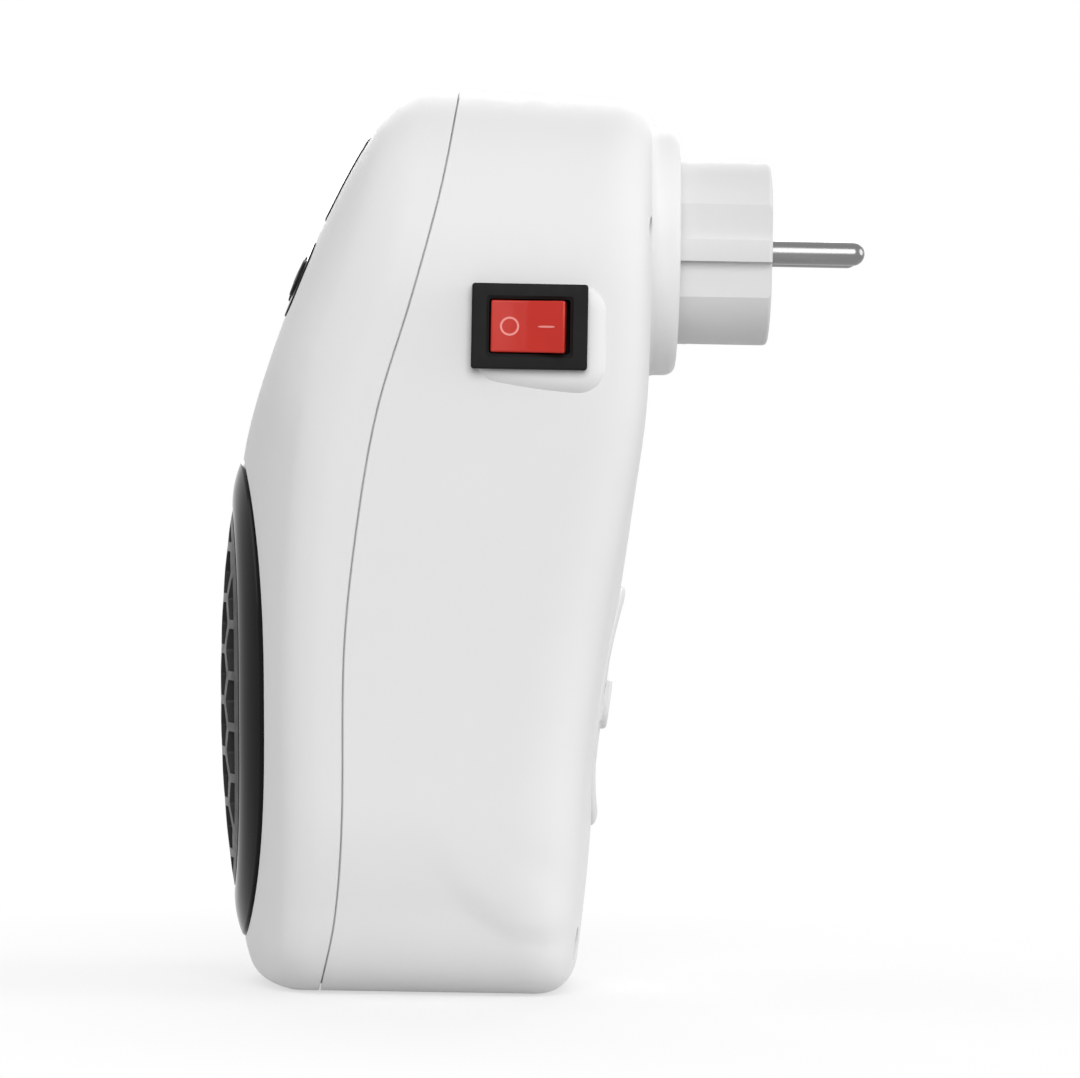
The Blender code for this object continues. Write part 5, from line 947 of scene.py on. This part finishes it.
def bar(width, height, centre=(0, 0)):
    return rounded(width, height, min(width, height) * 0.45, 4, centre)


def make_panel():
    (lens_w, lens_l, lens_v), (plate_w, plate_l, plate_v) = PANEL_PARTS
    make_inlay("lens_fine", lens_w, lens_l, lens_v, "smoked_lens", "display_lens")
    holes = [oval(w / 2 + SEAT, l / 2 + SEAT, 72, (u, plate_v)) for w, l, u in BUTTONS]
    make_inlay("plate_fine", plate_w, plate_l, plate_v, "gloss_black", "button_panel", holes)
    gap, outer, inner = math.radians(35), 1.6, 1.3
    power = arc(outer, 24, QUARTER + gap, QUARTER + math.tau - gap)
    power += arc(inner, 24, QUARTER + math.tau - gap, QUARTER + gap)
    arm, line = 2.4, 0.32
    make_button("power_button", "power_key", *BUTTONS[1], [power, bar(0.3, 1.7, (0, 1.1))])
    make_button("temp_down_button", "down_key", *BUTTONS[0], [bar(arm, line)])
    make_button("temp_up_button", "up_key", *BUTTONS[2], [bar(arm, line), bar(line, arm)])


# Plug and release button


def make_plug():
    """Round plug with side flats and ribs, on a disc that turns in the collar."""
    edge, fillet, ease = 0.9, 0.3, 0.25
    r, disc_end, hub_end = PLUG_RADIUS, DISC_FACE - DISC_THICKNESS, -26.5
    profile = [(r - edge + x, y - edge) for x, y in arc(edge, 8, QUARTER, 0)]
    profile += [(r, DISC_FACE + fillet), (r + 0.1, DISC_FACE + 0.1), (r + fillet, DISC_FACE)]
    profile += [(DISC_RADIUS - ease, DISC_FACE), (DISC_RADIUS - 0.07, DISC_FACE - 0.07)]
    profile += [(DISC_RADIUS, DISC_FACE - ease), (DISC_RADIUS, disc_end)]
    profile += [(DISC_HUB_R, disc_end), (DISC_HUB_R, hub_end)]
    plug = linked("plug_fine", turned(profile))
    cutters = bmesh.new()
    flat, beyond, rib_half, flat_half = 16.2, 20, 2.2, 10.5
    for sx in (1, -1):
        for sz in (1, -1):
            xs, zs = sorted((sx * flat, sx * beyond)), sorted((sz * rib_half, sz * flat_half))
            join(cutters, box((xs[0], DISC_FACE + 0.05, zs[0]), (xs[1], 1, zs[1])))
        join(cutters, prism(keyhole(sx), -16.5, 1))
        join(cutters, prism(circle(PIN_RADIUS + 0.1, 48, (sx * PIN_X, 0)), -28, 1))
    boolean(plug, cutters)
    piece(plug, "plug", "plug_grey_white", ["plug_body"])
    tip = [(x, PIN_LENGTH - PIN_RADIUS + y) for x, y in arc(PIN_RADIUS, 14, QUARTER * 0.92, 0)]
    for name, side in (("pin_line", 1), ("pin_neutral", -1)):
        mesh = turned(tip + [(PIN_RADIUS, PIN_ROOT)], 64)
        pin = linked(name + "_fine", mesh, at(side * PIN_X, 0, 0))
        piece(pin, "plug", "plated_pin", [name], angle=40)


def keyhole(side):
    """Earth hole with its slot to the plug's edge."""
    radius, half, middle = 3.15, 3.7 / 2, 10
    turn = math.asin(half / radius)
    points = arc(radius, 40, QUARTER + turn, math.tau + QUARTER - turn)
    return [(x, side * (middle + z)) for x, z in points + [(half, 9.7), (-half, 9.7)]]


def make_release():
    """Release button, which stands a little off the collar."""
    edge, stand_off, neck, end = 0.6, 1.5, 1.6, -30.4
    rings = []
    for x, y in arc(edge, 6, QUARTER, 0):
        outline = release_outline(x - edge, 2 * RUN + stand_off)
        rings.append(lifted(outline, COLLAR_RIM - edge + y))
    rings.append(lifted(release_outline(0, 2 * RUN + 0.1), COLLAR_RIM - neck + 0.05))
    rings += [lifted(release_outline(0, 2 * RUN), y) for y in (COLLAR_RIM - neck - 0.05, end)]
    button = linked("release_fine", loft(rings))
    piece(button, "release", "white_shell", ["release_button"])


def make_release_spring():
    """Wire spring under the release button, wound to the length of its CAD node."""
    low, high = (Vector(corner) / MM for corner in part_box("release_spring"))
    wire, turns, steps = 0.25, 5, 32
    middle, radius, length = (low + high) / 2, (high.x - low.x) / 2 - wire, high.y - low.y
    rings = []
    for i in range(turns * steps + 1):
        turn = math.tau * i / steps
        out = Vector((math.cos(turn), 0, math.sin(turn)))
        rise = low.y + wire + (length - 2 * wire) * i / (turns * steps)
        centre = Vector((middle.x, rise, middle.z)) + out * radius
        rings.append([centre + out * x + Vector((0, y, 0)) for x, y in circle(wire, 10)])
    spring = piece(linked("release_spring_fine", loft(rings)), "housing", "steel",
                   ["release_spring"], slots["release_spring"])
    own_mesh(spring)


# Mains switch


def make_switch():
    """Switch body: a barrel through the wall and a frame on the pad."""
    seat = PAD_X + SEAT
    face, edge = seat + 1.9, 0.4

    def ring(size, x, grow=0.0):
        return lifted(rounded(size[0] + 2 * grow, size[1] + 2 * grow, 0.6, 5), x, "X")

    rings = [ring(SWITCH_BARREL, PAD_X - 15.5), ring(SWITCH_BARREL, seat), ring(SWITCH_FRAME, seat)]
    rings += [ring(SWITCH_FRAME, face - edge + y, x - edge) for x, y in arc(edge, 5, 0, QUARTER)]
    for depth, grow in ((0, 0.6), (0.35, 0.3), (0.5, 0), (7.8, 0)):
        rings.append(ring(SWITCH_OPENING, face - depth, grow))
    body = linked("switch_fine", loft(rings), at(0, SWITCH_Y, SWITCH_Z))
    piece(body, "housing", "matte_black", ["switch_body"])
    make_rocker(face)


def make_rocker(face):
    """Rocker with a hollowed face, tipped towards its O, and its two marks."""
    tilt, half, side, depth, root = math.radians(9.3), 7.3, 5.1, 1.6, -5.5
    proud, hollow = 0.13, 0.16
    rise = half * math.tan(tilt)

    def top(v):
        """Height of the hollowed face at a place along the rocker."""
        share = min(abs(v) / half, 1.0)
        return depth + rise * share - hollow * math.sin(math.pi * share) ** 2

    outline = [(top(half * i / 10), half * i / 10) for i in range(-10, 11)]
    under = [(-depth, half * 0.97), (root, half * 0.45)]
    outline += under + [(x, -v) for x, v in under[::-1]]
    pivot = face + proud - depth * math.cos(tilt)
    place = at(pivot, SWITCH_Y, SWITCH_Z) @ Matrix.Rotation(-tilt, 4, "Z")
    rocker = linked("rocker_fine", prism(outline, -side, side, "Z"), place)
    edge = rocker.modifiers.new("edge", "BEVEL")
    edge.width, edge.segments, edge.limit_method = 0.35 * MM, 4, "ANGLE"
    edge.angle_limit = math.radians(50)
    piece(rocker, "rocker", "rocker_red", ["switch_rocker"])

    def ring(points, lift):
        return [Vector((top(v) + lift, v, w)) for v, w in points]

    sunk, raised = -0.3, 0.03
    wide, narrow = (circle(radius, 64, (-half / 2, 0)) for radius in (1.85, 1.47))
    rings = [ring(wide, sunk), ring(wide, raised), ring(narrow, raised), ring(narrow, sunk)]
    mark = linked("mark_off", loft(rings, closed=True), place)
    piece(mark, "rocker", "mark_pink", slot="rocker_red")
    rings, length, thick = [], 3.4, 0.19
    for share in (i / 10 for i in range(11)):
        v = half / 2 - length / 2 + length * share
        w = thick * min(1.0, 0.35 + 4 * (0.5 - abs(share - 0.5)))
        rings.append([Vector((top(v) + lift, v, across)) for lift, across in
                      ((sunk, -w), (raised, -w), (raised, w), (sunk, w))])
    piece(linked("mark_on", loft(rings), place), "rocker", "mark_pink", slot="rocker_red")


make_front_shell()
make_rear_shell()
make_screws()
make_bezel()
make_guard()
make_panel()
make_plug()
make_release()
make_release_spring()
make_switch()

# Camera, light and floor

# In metres and watts
CAMERA_DISTANCE, CAMERA_LENS = 1.25, 205.0
CAMERA_RISE, CAMERA_TURN, CAMERA_ROLL = (math.radians(angle) for angle in (1.0, 89, 1.04))
LAMPS = (
    ("key", (1.38, 0.05, 0.58), 1.2, 15.6),
    ("rear", (0.0, 1.45, 0.32), 1.1, 10),
    ("front", (-0.2, -1.5, 0.45), 0.9, 4.5),
    ("left", (-1.38, -0.02, 0.58), 1.2, 13.5),
)
LIT_PLACE = Vector((0, -0.05, -0.06))  # the lamps face it, and the floor's middle is under it
WORLD_LIGHT, FLOOR_LIGHT = 0.34, 0.3
FLOOR_SIZE, FLOOR_DROP, FLOOR_COLOUR = 6.0, 0.0002, (0.93, 0.93, 0.93, 1)
# Share of white near the object and far from it, and between which distances it grows
FLOOR_FADE = (0.55, 1.0, 0.06, 0.2)


def placed(name, data, place, away, roll=0.0):
    """Camera or lamp at a place, looking against a direction."""
    made = bpy.data.objects.new(name, data)
    bpy.context.scene.collection.objects.link(made)
    made.location = place
    made.rotation_mode = "QUATERNION"
    made.rotation_quaternion = (-away).to_track_quat("-Z", "Y") @ Quaternion((0, 0, 1), roll)
    return made


def make_camera():
    """Camera at the angle of the photo's first view."""
    low, high = (Vector(corner) for corner in cad_box)
    away = Vector((math.sin(CAMERA_TURN) * math.cos(CAMERA_RISE),
                   -math.cos(CAMERA_TURN) * math.cos(CAMERA_RISE), math.sin(CAMERA_RISE)))
    data = bpy.data.cameras.new("camera")
    data.lens = CAMERA_LENS
    place = (low + high) / 2 + away * CAMERA_DISTANCE
    bpy.context.scene.camera = placed("camera", data, place, away, CAMERA_ROLL)


def make_lamp(name, place, size, power):
    data = bpy.data.lights.new(name, "AREA")
    data.shape, data.size, data.energy = "DISK", size, power
    placed(name, data, place, Vector(place) - LIT_PLACE)


def seen_or_light(nodes, links, light):
    """One for what is seen straight, in gloss or through clear pieces; the light's level else."""
    rays = nodes.new("ShaderNodeLightPath")
    seen = rays.outputs["Is Camera Ray"]
    for kind in ("Is Glossy Ray", "Is Transmission Ray"):
        either = nodes.new("ShaderNodeMath")
        either.operation = "MAXIMUM"
        links.new(seen, either.inputs[0])
        links.new(rays.outputs[kind], either.inputs[1])
        seen = either.outputs[0]
    return ramp(nodes, links, seen, light, 1.0, 0.0, 1.0)


def make_world():
    """White behind the object, and plain light on it."""
    world = bpy.data.worlds.new("studio")
    bpy.context.scene.world = world
    world.use_nodes = True
    nodes, links = world.node_tree.nodes, world.node_tree.links
    nodes.clear()
    background = nodes.new("ShaderNodeBackground")
    background.inputs["Color"].default_value = (1, 1, 1, 1)
    links.new(seen_or_light(nodes, links, WORLD_LIGHT), background.inputs["Strength"])
    output = nodes.new("ShaderNodeOutputWorld")
    links.new(background.outputs[0], output.inputs["Surface"])


def make_floor():
    """Pale floor that fades to the backdrop's white away from the object."""
    mesh = bmesh.new()
    bmesh.ops.create_grid(mesh, x_segments=8, y_segments=8, size=FLOOR_SIZE)
    floor = linked("floor", mesh, Matrix.Translation((0, LIT_PLACE.y, cad_box[0][2] - FLOOR_DROP)))
    material = bpy.data.materials.new("floor")
    material.use_nodes = True
    nodes, links = material.node_tree.nodes, material.node_tree.links
    nodes.clear()
    distance = nodes.new("ShaderNodeVectorMath")
    distance.operation = "LENGTH"
    links.new(nodes.new("ShaderNodeTexCoord").outputs["Object"], distance.inputs[0])
    far = ramp(nodes, links, distance.outputs["Value"], *FLOOR_FADE)
    diffuse = nodes.new("ShaderNodeBsdfDiffuse")
    diffuse.inputs["Color"].default_value = FLOOR_COLOUR
    glow = nodes.new("ShaderNodeEmission")
    links.new(seen_or_light(nodes, links, FLOOR_LIGHT), glow.inputs["Strength"])
    mix = nodes.new("ShaderNodeMixShader")
    links.new(far, mix.inputs["Fac"])
    links.new(diffuse.outputs[0], mix.inputs[1])
    links.new(glow.outputs[0], mix.inputs[2])
    output = nodes.new("ShaderNodeOutputMaterial")
    links.new(mix.outputs[0], output.inputs["Surface"])
    floor.data.materials.append(material)


bpy.context.scene.view_settings.view_transform = "Standard"
make_camera()
make_world()
for lamp in LAMPS:
    make_lamp(*lamp)
make_floor()
